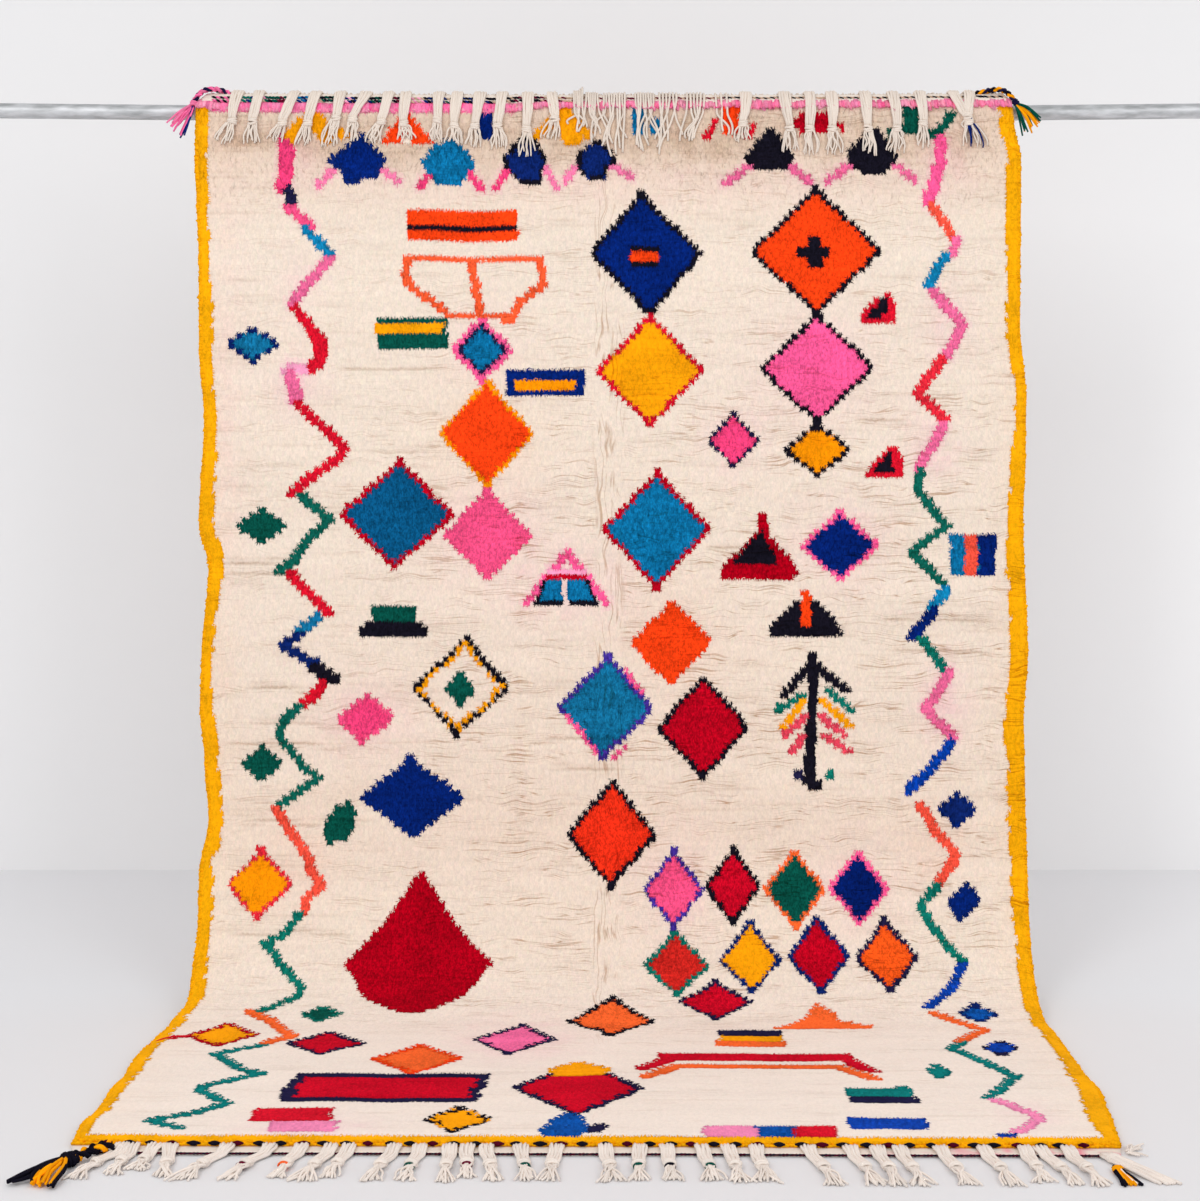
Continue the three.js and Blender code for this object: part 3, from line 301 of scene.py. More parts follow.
# Lines: colour, width and the points that each line runs through.
LINES = [
    # left zigzag
    ("deeprose", 2.6, [(-63.4, 9.8), (-63.4, 14), (-64, 19.6)]), ("inky", 1.9, [(-62.8, 20.2), (-62.2, 23.4)]),
    ("rose", 1.7, [(-63, 23.2), (-58.6, 27.4)]), ("brightteal", 1.7, [(-59.8, 27.8), (-54.6, 32.6)]),
    ("zigpink", 1.7, [(-54.8, 33.4), (-62.2, 42)]), ("red", 1.7, [(-61.6, 43), (-57.8, 47.8)]),
    ("red", 2.4, [(-57.6, 48.4), (-56.6, 51), (-56.8, 53.2), (-58.6, 54.8)]),
    ("palepink", 2.4, [(-60.4, 55), (-62.8, 55.4)]), ("zigpink", 2.3, [(-62.4, 56.4), (-61.4, 61.2)]),
    ("red", 1.7, [(-61.4, 61.6), (-52, 70), (-53, 72), (-62.4, 79)]),
    ("zigzaggreen", 1.7, [(-60.4, 79.6), (-55, 84), (-59, 88), (-60.6, 90), (-61.4, 91.8), (-65, 94.4)]),
    ("red", 1.8, [(-62.6, 94.6), (-59, 98.4), (-55.2, 102.4)]), ("skyblue", 1.8, [(-57.2, 103.2), (-60.6, 105.8)]),
    ("navy", 1.8, [(-60.6, 106.4), (-64, 108.8), (-59.6, 111.4), (-57.6, 112)]),
    ("black", 2.8, [(-57.4, 113), (-54.4, 115)]), ("red", 1.8, [(-56.4, 116), (-57.2, 117.6), (-60, 120.2)]),
    ("zigzaggreen", 1.5, [(-60.6, 120.4), (-64, 123.4), (-65, 125.8), (-63, 128.4), (-60.6, 132), (-57.2, 134.6),
        (-60.6, 137), (-65, 140.4)]),
    ("coral", 1.7, [(-65.4, 140.8), (-62.6, 145), (-59, 150), (-58, 153), (-56, 156), (-59, 159), (-59, 161)]),
    ("teal", 1.4, [(-59.8, 161.4), (-62.2, 165.6), (-65.8, 167.8), (-61.2, 173.6), (-57.4, 178.4), (-57.8, 181),
        (-64, 185.6)]),
    ("orange", 1.7, [(-65.8, 186), (-61.6, 189), (-56, 198.4), (-60, 202.4)]),
    ("floorteal", 1.45, [(-60.4, 203.6), (-67.6, 208.6), (-61.8, 217), (-57.6, 219), (-66, 225.6), (-66.6, 228),
        (-60.6, 233.8), (-64, 238), (-71.6, 242.4), (-65.6, 245.6)]),
    # right zigzag
    ("hotpink", 2.0, [(64.4, 8.8), (64.4, 14), (63.2, 18), (62.2, 21.4), (62.6, 22.6)]),
    ("coral", 1.6, [(62.8, 22.8), (67, 29.2)]), ("zigpink", 1.7, [(67.6, 29.6), (66.8, 31.8)]),
    ("brightteal", 1.8, [(65.4, 32.6), (61.6, 38.4)]), ("zigpink", 1.7, [(62.8, 39.2), (68.6, 46), (65.4, 52.4)]),
    ("lightred", 1.8, [(64.6, 53), (59.8, 59.4), (65.2, 64.4)]), ("zigpink", 1.8, [(65.0, 65.8), (60.2, 74.4)]),
    ("zigzaggreen", 1.6, [(60.6, 75), (59.8, 78.6), (65.6, 85.4), (58.8, 90.6), (60.4, 92.2), (64.6, 96.6)]),
    ("brightteal", 1.9, [(65.6, 97.6), (62.8, 101.8)]), ("royal", 1.9, [(63.2, 102), (58.8, 107.2)]),
    ("teal", 1.6, [(60.8, 107.4), (64.8, 113.2)]),
    ("zigpink", 1.7, [(66, 113.6), (63.4, 118.6), (61.4, 121), (67, 126.6)]),
    ("midblue", 1.8, [(66.4, 127.4), (62.4, 133), (58, 136.8)]),
    ("coral", 1.7, [(60.4, 139.8), (63.4, 145), (67.2, 149), (66.8, 151.4), (63.4, 155.8)]),
    ("teal", 1.6, [(63.4, 156), (60.2, 160), (64.4, 168), (67.8, 172)]),
    ("blue", 1.6, [(67.4, 172.4), (64.4, 179.4), (59.6, 184.6)]),
    ("orange", 1.6, [(60.4, 187), (68.6, 194.6), (63.2, 201.4)]),
    ("floorteal", 1.5, [(63.4, 202), (61, 205.4), (65.6, 212.8), (69.6, 220), (65.8, 227), (63.6, 230.4)]),
    ("floorpink", 1.5, [(64.6, 232), (68.8, 238), (69.8, 240.8), (65.4, 247)]),
    ("blue", 1.8, [(63.2, 247.8), (65.4, 249)]),
    # legs under the row of heads
    ("legpink", 1.3, [(-54.3, 16.2), (-57.1, 19)]), ("legpink", 1.2, [(-44.6, 16.2), (-41.5, 18.4)]),
    ("deeprose", 1.2, [(-35.4, 16.8), (-37.3, 19.3)], [(-27.4, 16.2), (-25.4, 19.3)], [(-20.1, 15.8),
        (-22.4, 19.4)]),
    ("legpink", 1.2, [(-12.7, 15.6), (-10.6, 19)], [(-7, 15.6), (-8.6, 17.8)]),
    ("legpink", 1.3, [(0, 14.8), (4.2, 17.2)]),
    ("zigpink", 1.3, [(27, 15), (22.4, 18.4)], [(34.4, 14.8), (38.8, 18.3)], [(46.8, 15),
        (42.2, 18.1)], [(55.2, 14.6), (59.1, 17.7)]),
    # open bowl with its stem
    ("bowlorange", 1.3, [(-39.8, 33.3), (-40, 37.2), (-38.8, 39.2), (-35, 41.6), (-31.6, 44.4), (-19.2, 44.8),
        (-17.8, 41.6), (-12.9, 38.2), (-13.8, 33.3), (-39.8, 33.3)]),
    ("bowlorange", 1.4, [(-26.9, 34.4), (-25.4, 45.6)]),
    # fern
    ("black", 1.8, [(39.2, 110.6), (39.6, 116), (39, 128), (38.8, 134.6)]),
    ("black", 2.5, [(38.6, 134.8), (39.6, 136)]),
    ("black", 1.5, [(38.6, 112.8), (33.8, 118.4)], [(40.4, 113), (46, 117.6)]),
    ("teal", 1.2, [(37.6, 118.2), (32.4, 121.4)], [(42.2, 117.4), (47, 121.4)]),
    ("gold", 1.3, [(37.6, 119.4), (33.6, 124.8)], [(41.4, 119.6), (47, 124.6)]),
    ("palered", 1.3, [(37.8, 122.8), (34.2, 126)], [(41.4, 122.8), (45.8, 126.4)], [(37.6, 126.6),
        (35.4, 129.6)], [(41.8, 126.4), (46.4, 129.8)]),
    # bars with slanted ends on the floor
    ("orange", 2.0, [(7.4, 220), (12.6, 215.4), (40.2, 215.2), (45.6, 221.6)]),
    # a long red thread at the left
    ("red", 1.1, [(-75, 198.6), (-78.4, 199.8), (-80.6, 202.6)]),
    # motifs under the top fringe
    ("gold", 2.4, [(-62.4, 9.2), (-59.6, 6.4), (-57, 6)]), ("gold", 3.0, [(-57.2, 6.4), (-55.6, 9.2)]),
    ("gold", 1.6, [(-54, 8.4), (-51.8, 9.4)]), ("gold", 1.8, [(-14.4, 9), (-11.4, 6)]),
    ("gold", 3.6, [(-9.4, 5), (-7.4, 9.4)]), ("gold", 1.6, [(-6.6, 6), (-4.6, 8.6)]),
    ("red", 1.1, [(18.8, 9.2), (20.4, 6.4)]), ("red", 1.2, [(26.4, 9.2), (28, 7.6)]),
    ("crimson", 3.4, [(37.6, 6.8), (41.8, 6.8)]), ("crimson", 1.2, [(44.6, 7.6), (45, 7.8)]),
    ("deepgreen", 1.3, [(54.4, 8.8), (57, 7.4)]), ("deepgreen", 1.6, [(62.6, 8.9), (64.2, 8.2), (66.3, 5.4)]),
    # tent
    ("hotpink", 1.2, [(-8.5, 90.8), (-16.4, 100.4)], [(-8.5, 90.8), (-0.8, 100.4)]),
    ("palepink", 1.4, [(-11.6, 94.4), (-5.6, 94.4)]), ("crimson", 1.1, [(-12.4, 95.8), (-5, 95.8)]),
]

# Heads: filling, edging and corners.
HEADS = [
    ("royal", "navy", [(-48.8, 9), (-51.8, 11.3), (-55.5, 14.2), (-52.6, 16.2), (-52, 18.4), (-45.3, 18.2),
        (-45.2, 16.2), (-43.8, 14.3), (-45.3, 12.4), (-46.9, 10.8)]),
    ("tealblue", "tealblue", [(-31.7, 9.6), (-35, 11.9), (-36.7, 14.3), (-35.8, 16.2), (-34.2, 18.9), (-29.3, 18.9),
        (-27.6, 16.2), (-26.5, 14.6), (-27.9, 12.1), (-29.5, 10.8)]),
    ("navy", "black", [(-16.8, 9.2), (-14.4, 10.2), (-13.3, 12.4), (-12.5, 14.4), (-13.8, 16.4), (-13.6, 18.5),
        (-17.1, 18.7), (-19, 17), (-20.5, 15.2), (-20.8, 13.4), (-19.2, 11.2)]),
    ("navy", "black", [(-2.4, 9.6), (-0.2, 11.9), (1.4, 13.9), (-0.8, 15.6), (-1.2, 17.6), (-3, 18), (-5.1, 17),
        (-6.3, 15.2), (-7, 13.4), (-5.1, 11.5)]),
    ("black", "black", [(31, 7.4), (34, 10.8), (35.6, 13.2), (35.2, 14.8), (33.6, 16.2), (28.2, 16.2), (27, 14.8),
        (26.4, 13.2), (28, 10.8)]),
    ("black", "black", [(51.3, 7.4), (54.2, 10.4), (55.8, 12.8), (55.6, 14.4), (53, 16.8), (49.4, 16.8),
        (46.4, 14.2), (46.4, 12.6), (48, 10.2)]),
]

# Patches of bled wet dye, and beige painted shadow under the top fringe and its fans: colour, and for each patch its
# u, s, half width, half height and strength.
STAINS_AND_SHADOWS = [
    # beige: painted shadow cast by the top fringe and its fans on the pile below
    ("beige", (-40, 7.5, 45, 3.6, 0.5), (10, 8, 30, 4.2, 0.7), (48, 7.5, 30, 3.4, 0.45), (-72, 10.8, 6, 2.2, 1.3),
        (-63, 11.4, 5, 2.6, 1.6), (-53, 11.6, 6, 3.4, 1.1), (-41, 12.6, 5, 4, 0.8), (-24, 13, 4, 5, 0.9),
        (-9, 12.6, 4, 4, 0.7), (10, 11, 15, 3.4, 1.1), (22, 12, 5, 3, 0.8), (43, 11.6, 4, 3.6, 0.7),
        (58, 11.6, 4, 3, 0.8), (67, 11, 5, 3.2, 1.2)),
    ("palepink", (-61, 14, 4, 5, 0.2), (-61, 40, 4, 7, 0.2), (-61, 58, 5, 6, 0.3), (-25, 51, 7, 8, 0.2),
        (-24, 87, 11, 11, 0.25), (24, 69, 6, 7, 0.25), (40, 55, 13, 12, 0.2), (65, 14, 4, 6, 0.3),
        (66, 46, 5, 7, 0.25), (63, 70, 5, 6, 0.35), (65, 120, 5, 8, 0.35), (-48, 123, 8, 7, 0.3),
        (-8, 97, 11, 7, 0.3), (45, 89, 9, 8, 0.3)),
    ("gold", (-24, 67, 11, 12, 0.12)), ("palepink", (13, 157, 8, 10, 0.25), (48, 157, 8, 9, 0.25)),
    ("gold", (-78, 130, 5, 120, 0.1)), ("palepink", (-75, 60, 4, 40, 0.12)), ("gold", (79, 130, 5, 120, 0.1)),
    ("palepink", (-16, 200, 10, 11, 0.35), (-46, 245, 9, 5, 0.4), (68, 240, 5, 7, 0.2), (10, 19, 60, 4, 0.12)),
    ("orange", (12, 108, 10, 10, 0.12), (-60, 152, 7, 10, 0.14), (64, 148, 7, 9, 0.12)),
]

STAIN_AND_SHADOW_SHARE = 0.55  # of the strengths above

# Widths of the yellow borders, at s.
BORDER_LEFT = [
    (0, 2.8), (14, 2.5), (33, 2.2), (43, 2.9), (63, 2.5), (83, 3.1), (112, 2.2), (131, 2.7), (190, 2.7), (225, 2.4),
    (248, 2.0),
]
BORDER_RIGHT = [
    (5, 3.1), (14, 2.7), (24, 3.2), (43, 2.9), (63, 2.3), (73, 2.9), (92, 3.4), (112, 3.5), (131, 3.5), (151, 3.3),
    (170, 2.9), (195, 3.0), (206, 2.7), (214, 2.5), (219, 3.3), (236, 3.8), (242, 3.2), (248, 2.4),
]
PINK_SLOPE = (-22, -15)  # the pink row at the top climbs between these u
PINK_ROW_END = (4.95, 3.95)  # it ends at these s, left and right of that
BOTTOM_YELLOW = 248.1  # the yellow rows in front start at this s
MOTIF_SHIFT = 0.44  # the tables' s is this much more than the cloth's
# Lines of these colours stain the wool beside them.
RUNNING_PINKS = ("hotpink", "zigpink", "palepink", "rose", "legpink", "deeprose")
# Lozenges with yellow dots in a ring: u, s, half width, half height, lean, and the ring's outer and inner edge.
DOTTED_RINGS = [(-29.2, 117, 9.2, 9.6, 1.1, 0.3, 1.9), (-22.6, 241.4, 5.0, 5.8, 0, 0, 1.05)]


def inside_polygon(u, s, corners):
    inside = np.zeros(u.shape, bool)
    for (x0, y0), (x1, y1) in zip(corners, corners[1:] + corners[:1]):
        crosses = (y0 > s) != (y1 > s)
        inside ^= crosses & (u < (x1 - x0) * (s - y0) / (y1 - y0 + 1e-9) + x0)
    return inside


def distance_to_line(u, s, points):
    best = np.full(u.shape, 1e9)
    for (x0, y0), (x1, y1) in zip(points, points[1:]):
        dx, dy = x1 - x0, y1 - y0
        t = np.clip(((u - x0) * dx + (s - y0) * dy) / (dx * dx + dy * dy), 0, 1)
        best = np.minimum(best, np.hypot(u - x0 - t * dx, s - y0 - t * dy))
    return best


def mixed(colour, name, share):
    """A colour with a share of the named wool in it."""
    return colour * (1 - share) + WOOL[name] * share


def paint(u, s):
    """The wool's linear colours at knots whose middles are at u and s in cm, and each knot's dye, 0 for none."""
    u, s = together(u, np.asarray(s, float) + MOTIF_SHIFT)
    rng = np.random.default_rng(7)
    waved_u = u + 0.3 * noise(u / 7, s, 51)
    top, front = 1 - smooth(s, 8, 32), smooth(s, 165, 200)
    colour = WOOL["cream"] * (1 - top - front)[..., None] + WOOL["browncream"] * top[..., None]
    colour = colour + WOOL["palecream"] * front[..., None]
    dyed = np.zeros(u.shape, int)
    blotches = 1 + 0.7 * noise(u / 2.2, s / 2.2, 3)
    # real dye bleeds, and the beige painted shadow under the top fringe
    for name, *stains_and_shadows in STAINS_AND_SHADOWS:
        for cu, cs, half_u, half_s, strength in stains_and_shadows:
            share = STAIN_AND_SHADOW_SHARE * strength * np.exp(-(((u - cu) / half_u) ** 2) - ((s - cs) / half_s) ** 2)
            colour = mixed(colour, name, np.clip(share * blotches, 0, 1)[..., None])

    def put(mask, name):
        colour[mask] = WOOL[name]
        dyed[mask] = DYES.index(name) + 1

    for name, width, *strokes in LINES:
        for points in strokes:
            if name in RUNNING_PINKS:
                near = (distance_to_line(u, s, points) < width / 2 + 0.9) & (dyed == 0)
                colour[near] = mixed(colour[near], "palepink", 0.14)
            put(distance_to_line(waved_u, s, points) < width / 2, name)
    for filling, edging, corners in HEADS:
        body = inside_polygon(waved_u, s, corners)
        put(body, filling)
        if edging != filling:
            middle = np.mean(corners, 0)
            inner = [tuple(middle + 0.8 * (np.array(corner) - middle)) for corner in corners]
            put(body & ~inside_polygon(waved_u, s, inner) & (rng.random(u.shape) < 0.85), edging)
    for cu, cs, half_u, half_s, filling, edging, width, *form in LOZENGES:
        swell, lean = form or (1, 0)
        down = np.abs(s - cs)
        away = np.clip((down - 0.4) / (half_s - 0.4), 0, 1)
        reach = np.maximum(half_u * (1 - away**swell) ** (1 / swell), 0.6)
        side = np.abs(waved_u - cu - lean * (cs - s) / half_s)
        body = (side < reach) & (down < half_s + 0.2)
        if filling != "cream":
            put(body, filling)
        if width:
            put(body & ((side > reach - width) | (down > half_s - 0.9)), edging)
    for left, right, top, bottom, name in BLOCKS:
        put((waved_u > left) & (waved_u < right) & (s > top) & (s < bottom), name)
    for name, corners in SHAPES:
        put(inside_polygon(waved_u, s, corners), name)
    small_marks(waved_u, s, put)
    edge_left = -(80 + table_at(LEFT_SIDE, s) / 10)
    edge_right = 80 + table_at(RIGHT_SIDE, s) / 10
    jag = 0.35 * noise(3.0, s / 1.3, 11) + 0.2 * noise(9.0, s / 4.1, 12)
    put(u < edge_left + table_at(BORDER_LEFT, s) + jag, "border")
    put(u > edge_right - table_at(BORDER_RIGHT, s) - jag, "border")
    pink_row = s < np.where((u < sum(PINK_SLOPE) / 2) & (u > -77.5), *PINK_ROW_END)
    put(pink_row, "hotpink")
    pale = rng.uniform(0.05, 0.75, u.shape)[..., None]
    colour = np.where(pink_row[..., None], mixed(WOOL["hotpink"], "palepink", pale), colour)
    put(s > BOTTOM_YELLOW, "border")
    return colour, dyed


def small_marks(u, s, put):
    """Marks too small for the tables."""
    # yellow knots between the black ones around the open lozenge and the small floor lozenge
    for cu, cs, half_u, half_s, lean, outer, inner in DOTTED_RINGS:
        reach = half_u * (1 - np.abs(s - cs) / half_s)
        side = np.abs(u - cu - lean * (cs - s) / half_s)
        dots = np.sin((u - cu) * 2.9) * np.sin((s - cs) * 2.1 + 0.8) > 0.1
        put((side < reach - outer) & (side > reach - inner) & dots, "gold")
    # tent legs, black along their slanted sides
    inset = (1 - (s - 95.5) / 6) * 2.4
    for low, high, slanted in ((-15.2 + inset, -9.6, -15.2 + inset), (-8.2, -2 - inset, -2 - inset)):
        leg = (u > low) & (u < high) & (s > 96.4) & (s < 101.4)
        put(leg, "tealblue")
        put(leg & ((s > 99.9) | (np.abs(u - slanted) < 0.6)), "black")
    # the foot of the fern
    put(np.hypot(u - 42.7, s - 134.3) < 0.9, "teal")
    put(np.hypot(u - 36.8, s - 134.2) < 0.9, "inky")
    # pink beside the outline of a blue lozenge
    for points in ([(-8.6, 122.4), (-2.2, 130)], [(2.8, 113.8), (6.6, 118)], [(3, 128.6), (0.6, 130.6)]):
        put(distance_to_line(u, s, points) < 0.4, "hotpink")


# ---- Meshes ----
def fill(items, key, values, kind=np.float32):
    items.foreach_set(key, np.asarray(values, kind).ravel())


def grid_quads(rows, columns):
    """Faces of a grid of points, seen from the pile's side."""
    index = np.arange(rows * columns).reshape(rows, columns)
    return np.stack([index[:-1, :-1], index[1:, :-1], index[1:, 1:], index[:-1, 1:]], -1).reshape(-1, 4)


def ring_quads(rings, sides):
    """Faces between closed rings of points."""
    index = np.arange(rings * sides).reshape(rings, sides)
    turned = np.roll(index, -1, 1)
    return np.stack([index[:-1], turned[:-1], turned[1:], index[1:]], -1).reshape(-1, 4)


def squares(count, local):
    """Places in the flat pattern, which gives each of count small things a square, from places around its middle."""
    side = int(np.ceil(np.sqrt(count)))
    cell = np.stack([np.arange(count) % side, np.arange(count) // side], -1) + 0.5
    return (cell[:, None] + local[None]) / side


class Soup:
    """Gathers points, faces, colours and places in the flat pattern and on the cloth, and makes one mesh of them."""

    def __init__(self):
        self.points, self.quads, self.tris, self.colours, self.dyes, self.flat, self.cloth = ([] for _ in range(7))
        self.count = 0

    def add(self, points, quads=None, tris=None, colours=(1, 1, 1), flat=None, cloth=None, dyes=(1, 1, 1)):
        """Colours go with the points. Dyes go with the quads and multiply the colours."""
        points = np.reshape(points, (-1, 3))
        if quads is not None:
            quads = np.reshape(quads, (-1, 4))
            self.quads.append(quads + self.count)
            self.dyes.append(np.broadcast_to(dyes, (len(quads), 3)))
        if tris is not None:
            self.tris.append(np.reshape(tris, (-1, 3)) + self.count)
        self.points.append(points)
        self.colours.append(np.broadcast_to(np.reshape(colours, (-1, 3)), points.shape))
        self.flat.append(np.reshape(flat, (-1, 2)))
        self.cloth.append(self.flat[-1] if cloth is None else np.reshape(cloth, (-1, 2)))
        self.count += len(points)

    def build(self, name, material):
        points = np.concatenate(self.points)
        quads = np.concatenate([np.zeros((0, 4), int), *self.quads])
        tris = np.concatenate([np.zeros((0, 3), int), *self.tris])
        corners = np.concatenate([quads.ravel(), tris.ravel()])
        mesh = bpy.data.meshes.new(name)
        mesh.vertices.add(len(points))
        fill(mesh.vertices, "co", points)
        mesh.loops.add(len(corners))
        fill(mesh.loops, "vertex_index", corners, np.int32)
        mesh.polygons.add(len(quads) + len(tris))
        starts = np.concatenate([np.arange(len(quads)) * 4, len(quads) * 4 + np.arange(len(tris)) * 3])
        fill(mesh.polygons, "loop_start", starts, np.int32)
        mesh.update(calc_edges=True)
        dyes = np.repeat(np.concatenate([np.zeros((0, 3)), *self.dyes]), 4, 0)
        dyes = np.concatenate([dyes, np.ones((len(tris) * 3, 3))])
        colours = np.concatenate([np.concatenate(self.colours)[corners] * dyes, np.ones((len(corners), 1))], 1)
        fill(mesh.color_attributes.new("wool", "FLOAT_COLOR", "CORNER").data, "color", colours)
        for map_name, places in (("OFBake", self.flat), ("cloth", self.cloth)):
            fill(mesh.uv_layers.new(name=map_name).data, "uv", np.concatenate(places)[corners])
        fill(mesh.polygons, "use_smooth", np.ones(len(mesh.polygons)), bool)
        mesh.materials.append(material)
        return add_object(name, mesh)


def sides_along(path):
    """Two directions across a line of points, at each point."""
    tangents = np.gradient(path, axis=0)
    tangents /= np.linalg.norm(tangents, axis=1, keepdims=True) + 1e-12
    first = np.cross(tangents[0], (0.3, 0.1, 1.0))
    sides = [first / np.linalg.norm(first)]
    for tangent in tangents[1:]:
        side = sides[-1] - tangent * np.dot(sides[-1], tangent)
        sides.append(side / (np.linalg.norm(side) + 1e-12))
    sides = np.array(sides)
    return sides, np.cross(tangents, sides)


class Yarns(Soup):
    """Round yarns, each with its own patch of the flat pattern."""

    PATCHES_DOWN, PATCHES_ACROSS = 190, 19
    PATCH_MARGIN, PATCH_STEP, PATCH_SIZE = 0.005, np.array((0.05, 0.0051)), np.array((0.045, 0.0045))

    def __init__(self, seed):
        super().__init__()
        self.rng = np.random.default_rng(seed)
        self.laid = 0

    def lay(self, path, radius, sides, colour, tint=None):
        """A yarn along a path, with pinched closed ends. A random tint between the two given values darkens it."""
        path = np.asarray(path, float)
        n = len(path)
        across, out = sides_along(path)
        angle = np.linspace(0, TURN, sides, endpoint=False)[:, None]
        ring = np.cos(angle) * across[:, None] + np.sin(angle) * out[:, None]
        ring = path[:, None] + np.broadcast_to(radius, n)[:, None, None] * ring
        points = np.concatenate([ring.reshape(-1, 3), path[:1], path[-1:]])
        k = np.arange(sides)
        turned = (k + 1) % sides
        tip, last = n * sides, (n - 1) * sides
        tris = np.stack([tip + 0 * k, turned, k, tip + 1 + 0 * k, last + k, last + turned], -1)
        column, row = divmod(self.laid, self.PATCHES_DOWN)
        self.laid += 1
        corner = self.PATCH_MARGIN + self.PATCH_STEP * (column % self.PATCHES_ACROSS, row)
        along = np.append(np.repeat(np.linspace(0, 1, n), sides), (0, 1))
        around = np.append(np.tile(k / sides, n), (0, 0))
        flat = corner + self.PATCH_SIZE * np.stack([along, around], 1)
        if isinstance(colour, str):
            colour = WOOL[colour]
        if tint:
            colour = colour * self.rng.uniform(*tint)
        self.add(points, ring_quads(n, sides), tris, colour, flat)

    def knot(self, centre, along, across, out, width, thick, colour, turns=3, radius=0.0026):
        """An overhand knot: yarn wound a few times round the bundle, slanting."""
        a = np.linspace(0, TURN, 13)
        for k in range(turns):
            slant = self.rng.uniform(-0.6, 0.6)
            step = k - (turns - 1) / 2
            swell = (1 - 0.12 * abs(step)) * self.rng.uniform(0.94, 1.06)
            ring = (
                centre
                + along * (step * radius * 1.45)
                + across * (np.cos(a) * width * swell)[:, None]
                + out * (np.sin(a) * thick * swell)[:, None]
                + along * (np.cos(a + 0.6) * slant * 0.004)[:, None]
            )
            self.lay(ring, radius, 6, colour, (0.94, 1.02))


# ---- Materials ----
FLOOR_BEND = (1.75, 2.05)  # s where the pile turns from hanging to lying, and its grain gets calmer
STEEL_GREYS = (0.40, 0.41, 0.42, 1), (0.67, 0.68, 0.70, 1)
# painted shade: the colour the wool is multiplied towards in the gaps where its yarns part
PARTING_SHADE = (0.52, 0.34, 0.22, 1)


class Look:
    """A material and its nodes."""

    def __init__(self, name):
        self.material = bpy.data.materials.new(name)
        self.material.use_nodes = True
        self.tree = self.material.node_tree
        self.shader = self.tree.nodes["Principled BSDF"]

    def feed(self, node, inputs):
        """Gives each named input of a node its value, or a link from another node's output."""
        for key, value in inputs.items():
            if isinstance(value, bpy.types.NodeSocket):
                self.tree.links.new(value, node.inputs[key])
            else:
                node.inputs[key].default_value = value

    def add(self, kind, inputs, **settings):
        node = self.tree.nodes.new(f"ShaderNode{kind}")
        for key, value in settings.items():
            setattr(node, key, value)
        self.feed(node, inputs)
        return node.outputs

    def math(self, operation, first, second=0):
        return self.add("Math", {0: first, 1: second}, operation=operation)[0]

    def times(self, first, second):
        return self.math("MULTIPLY", first, second)

    def span(self, source, low, high, to_low, to_high):
        """to_low where the source is low, to_high where it is high, and in a straight line between."""
        inputs = {"From Min": low, "From Max": high, "To Min": to_low, "To Max": to_high, "Value": source}
        return self.add("MapRange", inputs)["Result"]

    def grain(self, place, scale, detail=2.0):
        """Noise over the cloth, with scale the repeats in a metre across and along."""
        grid = self.add("Mapping", {"Scale": (*scale, 1), "Vector": place})["Vector"]
        inputs = {"Scale": 1.0, "Detail": detail, "Vector": grid}
        return self.add("TexNoise", inputs, noise_dimensions="2D")["Fac"]

    def hairlines(self, place, scale, width):
        """Thin wavy lines, from 0 to 1, where a stretched noise crosses its middle."""
        away = self.math("ABSOLUTE", self.math("SUBTRACT", self.grain(place, scale, 1.0), 0.5))
        return self.span(away, 0.0, width, 1.0, 0.0)


def partings(look, place, across, along):
    """Where the pile's yarns part, from 0 to 1: level hairlines, and upright ones along the old fold. Painted shade
    darkens them.
    """
    inputs = {"Scale": 16.0, "Detail": 1.0, "Vector": place}
    warp = look.add("TexNoise", inputs, noise_dimensions="2D")["Color"]
    bent = look.add("VectorMath", {0: warp, 1: (0.020, 0.022, 0), 2: place}, operation="MULTIPLY_ADD")[0]
    patches = look.span(look.grain(place, (8.0, 26.0)), 0.42, 0.60, 0.0, 1.0)
    level = look.times(look.hairlines(bent, (6.0, 150.0), 0.036), patches)
    level = look.times(level, look.span(across, -0.50, -0.20, 0.45, 1.0))
    level = look.times(level, look.span(along, 0.40, 0.85, 0.55, 1.0))
    patches = look.span(look.grain(place, (24.0, 12.0)), 0.42, 0.56, 0.0, 0.8)
    upright = look.times(look.hairlines(bent, (95.0, 6.0), 0.050), patches)
    from_fold = look.math("ABSOLUTE", look.math("ADD", across, 0.0035))
    upright = look.times(upright, look.span(from_fold, 0.020, 0.034, 1.0, 0.0))
    level = look.times(level, look.span(from_fold, 0.020, 0.034, 0.0, 1.0))
    gap = look.math("MINIMUM", look.math("ADD", upright, level), 1.0)
    return look.times(gap, look.span(along, *FLOOR_BEND, 1.0, 0.2))


